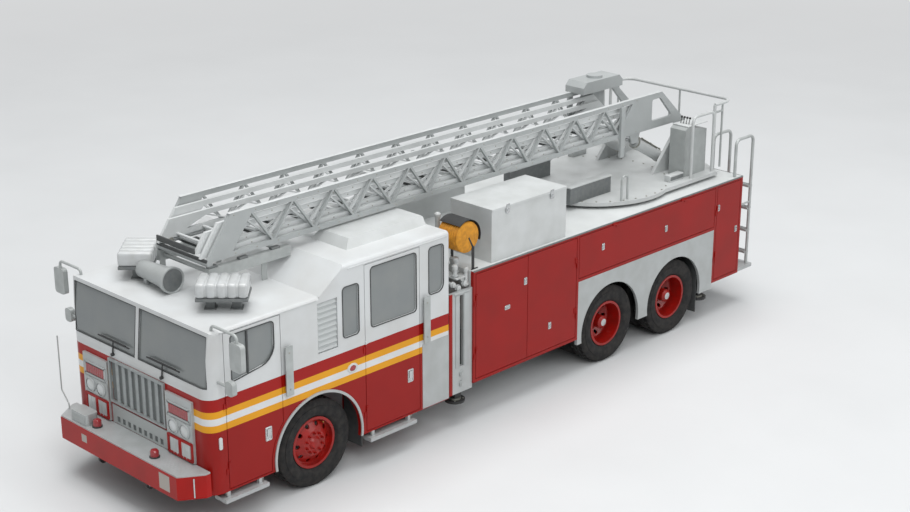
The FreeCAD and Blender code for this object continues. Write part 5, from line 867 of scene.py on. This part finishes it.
# hand hoops to climb on by, and the rear guard's middle posts and short mid rails
hoops = bmesh.new()
tube(hoops, (960, 7395, 2038), (960, 7395, 2330), (960, 7410, 2362), (960, 7435, 2374), (960, 7480, 2374),
     (960, 7505, 2362), (960, 7520, 2330), (960, 7520, 2038))
tube(hoops, (930, 9608, 2938), (930, 9608, 2038))
tube(hoops, (930, 9430, 2850), (930, 9608, 2850))
on_both_sides(hoops)
tube(hoops, (20, 9830, 2945), (20, 9830, 2250), (20, 9560, 2038))
piece("turntable_hoops", hoops, satin_rail, "turntable")
slew_bolts = bmesh.new()
for across, along in round_turn(36, 1070):
    spot = at(across, 7885 + along, 2040)
    bar(slew_bolts, spot, spot + Vector((0, 0, 0.009)), 12, 6)
piece("slew_bolts", slew_bolts, zinc, "turntable")
grip = slabs(*(((-640, 640), (station, station + 5), (2040, 2043), 1) for station in range(9420, 9577, 12)))
piece("platform_grip", grip, panel, "turntable")

levers, dials = bmesh.new(), bmesh.new()
for x in (700, 746, 792, 838):
    foot = at(x, 8960, 2726)
    knob = foot + Vector((0, 0.03, 0.11))
    bar(levers, foot, knob, 6, 12, 4)
    ball(levers, knob, 0.017)
    spun(levers, [(-4, 16), (0, 20), (8, 20), (12, 12), (12, 0)], foot, UPWARDS, 20)
for x in (705, 773, 841):
    spun(dials, [(0, 30), (7, 30), (9, 26), (5, 25), (5, 0)], at(x, 9302, 2560), BACK, 28)
slab(levers, (660, 880), (9300, 9306), (2290, 2470), 4)
piece("console_levers", levers, black, "turntable")
piece("console_dials", dials, steel, "turntable")
piece("console_lid", slabs(((634, 906), (8870, 9306), (2738, 2752), 5)), etched_sheet, "turntable")


# -------- ladder
# Three nested sections of riveted aluminium lattice. Each slides in the one outside it on wear
# pads, hauled by steel cables over sheaves, and its rungs are covered in rubber.

# Ladder aluminium: extruded and riveted, pale and satin, dulled in patches by handling.
extrusion = finish("riveted_aluminium_extrusion", "ladder_grey", ("ABAFAF", "9DA1A1", 0.5), metal=0.15,
                   rough=0.45)
paint(extrusion, "ladder_base")
# Painted highlight: the same aluminium extrusions on the inner sections, painted paler for the light that falls
# on their upper faces.
painted_highlight = finish("bright_rolled_extrusion", "ladder_grey", ("CDD0D0", "C1C4C4", 0.4), metal=0.1,
                       rough=0.42)
paint(painted_highlight, "ladder_mid", "ladder_fly")
# section, half the width, bottom, top, front, rear
SECTIONS = (("ladder_base", 450, 2680, 3170, 1000, 8500), ("ladder_mid", 395, 2727, 3080, 970, 8500),
            ("ladder_fly", 340, 2775, 2990, 940, 8400))
for section, half, bottom, top, front, rear in SECTIONS:
    rivets = bmesh.new()
    for station in range(front + 400, front + 7301, 300):
        for height in (bottom + 30, top - 30):
            made = at(half, station, height)
            bar(rivets, made - Vector((0.002, 0, 0)), made + Vector((0.004, 0, 0)), 10, 10, 6)
    piece(f"{section}_rivets", rivets, zinc, section, both=True)
# pale strips along the outer section's top rails: a painted highlight on their lit upper faces
caps = slabs(((404, 456), (1330, 8830), (3168, 3176), 3))
piece("top_rail_highlights", caps, painted_highlight, "ladder_base", both=True)
# black rubber buffers across the tips of the outer and the inner section
for section, half, front, low, high in (("ladder_base", 448, 1002, 2682, 2722),
                                        ("ladder_fly", 338, 926, 2780, 2846)):
    buffer = slabs(((-half, half), (front, front + 20), (low, high), 6))
    piece(f"{section}_buffer", buffer, seal_rubber, section)
# rubber sleeves on the rungs
grips = bmesh.new()
for station in range(1250, 8350, 356):
    stud(grips, -300, 300, station, 2710, 20, 14)
piece("rung_sleeves", grips, seal_rubber, "ladder_base")
cables = bmesh.new()
for x in (300, -300):
    bar(cables, at(x, 1100, 2748), at(x, 8300, 2748), 6, 8)
piece("extension_cables", cables, steel, "ladder_base")
sheaves = bmesh.new()
for x in (-300, 300):
    spun(sheaves, [(-12, 8), (-12, 40), (-4, 34), (4, 34), (12, 40), (12, 8), (-12, 8)],
         at(x, 1090, 2745), steps=28)
piece("cable_sheaves", sheaves, zinc, "ladder_base")
pivots = bmesh.new()
spun(pivots, [(0, 0), (0, 48), (8, 48), (12, 40), (12, 0)], at(521, 9330, 2620), steps=32)
piece("pivot_caps", pivots, steel, "ladder_base", both=True)


# -------- lift cylinders
# Twin hydraulic cylinders between the turntable and the ladder's heel: enamelled barrels, hard
# chromed rods, and rigid steel pipes clamped along the barrels.

# Hard chrome: a ground and plated rod, mirror bright.
hard_chrome = finish("hard_chromed_rod", "bright_steel", ("CBCDCE", "BFC1C2", 0.1), metal=1.0, rough=0.12)
paint(hard_chrome, "lift_rods")
paint(turntable_grey, "lift_barrels")
foot, eye = at(345, 9050, 2150), at(345, 8300, 2580)
line = (eye - foot).normalized()
aside = line.cross(Vector((1, 0, 0))).normalized()
pipes = bmesh.new()
for x in (0.03, -0.03):
    start = foot + line * 0.16 + aside * 0.092 + Vector((x, 0, 0))
    bar(pipes, start, start + line * 0.5, 8, 12)
    for step in (0.02, 0.25, 0.47):
        bar(pipes, start + line * step, start + line * (step + 0.02), 13, 12)
for step, radius in ((0.12, 84), (0.72, 86)):
    bar(pipes, foot + line * step, foot + line * (step + 0.025), radius, 40)
piece("lift_pipes", pipes, zinc, "lift_barrels", both=True)


# -------- studio
# A pale matt floor and three large soft lamps, with the camera above and ahead of the left corner.
# The backdrop is as pale as the lit floor, and the floor fades into it beyond the lamps' reach.

CAMERA, LOOK_ROUND, LOOK_DOWN = (14.1615, -14.1717, 8.8194), 44.531, 19.728
REACH = 200
PALE, LIT, BACKDROP = "F2F3F4", 0.42, 0.78


def shown(owner):
    """1 for the rays that show a thing straight, in gloss or through glass, and 0 for those that light."""
    rays = add(owner, "LightPath", {})
    seen = rays["Is Camera Ray"]
    for kind in ("Is Glossy Ray", "Is Transmission Ray"):
        seen = add(owner, "Math", {0: seen, 1: rays[kind]}, operation="MAXIMUM")["Value"]
    return seen


paper = finish("matt_studio_paper", "", rough=0.9)
spot = dusted(paper, "CED0D1", "CACCCD", 2.0)
away = add(paper, "VectorMath", {0: spot}, operation="LENGTH")["Value"]
far = add(paper, "MapRange", {"Value": away, "From Min": 9.0, "From Max": 34.0},
          interpolation_type="SMOOTHSTEP")["Result"]
faded = add(paper, "Math", {0: far, 1: shown(paper)}, operation="MULTIPLY")["Value"]
glow = add(paper, "Emission", {"Color": PALE, "Strength": BACKDROP})["Emission"]
nodes, links = paper.node_tree.nodes, paper.node_tree.links
sheet_look = add(paper, "MixShader", {0: faded, 1: nodes["Principled BSDF"].outputs["BSDF"], 2: glow})
links.new(sheet_look["Shader"], nodes["Material Output"].inputs["Surface"])
sheet = bmesh.new()
bmesh.ops.create_circle(sheet, cap_ends=True, segments=96, radius=REACH)
ground = bpy.data.meshes.new("studio_floor")
sheet.to_mesh(ground)
sheet.free()
ground.materials.append(paper)
placed("studio_floor", ground)

world = bpy.data.worlds.new("soft_sky")
world.use_nodes = True
backdrop = world.node_tree.nodes["Background"]
backdrop.inputs["Color"].default_value = linear(PALE)
level = add(world, "Math", {0: shown(world), 1: BACKDROP - LIT, 2: LIT}, operation="MULTIPLY_ADD")["Value"]
world.node_tree.links.new(level, backdrop.inputs["Strength"])
bpy.context.scene.world = world
# name, place, size, watts, each turned towards the middle of the vehicle
LAMPS = (("key_lamp", (20.5, -13.0, 22.0), 15.0, 3200), ("fill_lamp", (26.0, 11.0, 15.0), 15.0, 1600),
         ("top_lamp", (0.0, 0.0, 45.0), 36.0, 18000))
for name, place, size, watts in LAMPS:
    light = bpy.data.lights.new(name, "AREA")
    light.energy, light.size = watts, size
    lamp = placed(name, light)
    lamp.location = place
    lamp.rotation_euler = (Vector((0, 0, 1.2)) - Vector(place)).to_track_quat("-Z", "Y").to_euler()

lens = bpy.data.cameras.new("view_camera")
lens.lens, lens.sensor_width = 66.36, 36.0
camera = placed("view_camera", lens)
camera.location = CAMERA
camera.rotation_euler = (math.radians(90 - LOOK_DOWN), 0.0, math.radians(LOOK_ROUND))
bpy.context.scene.camera = camera
bpy.context.scene.view_settings.view_transform = "Standard"
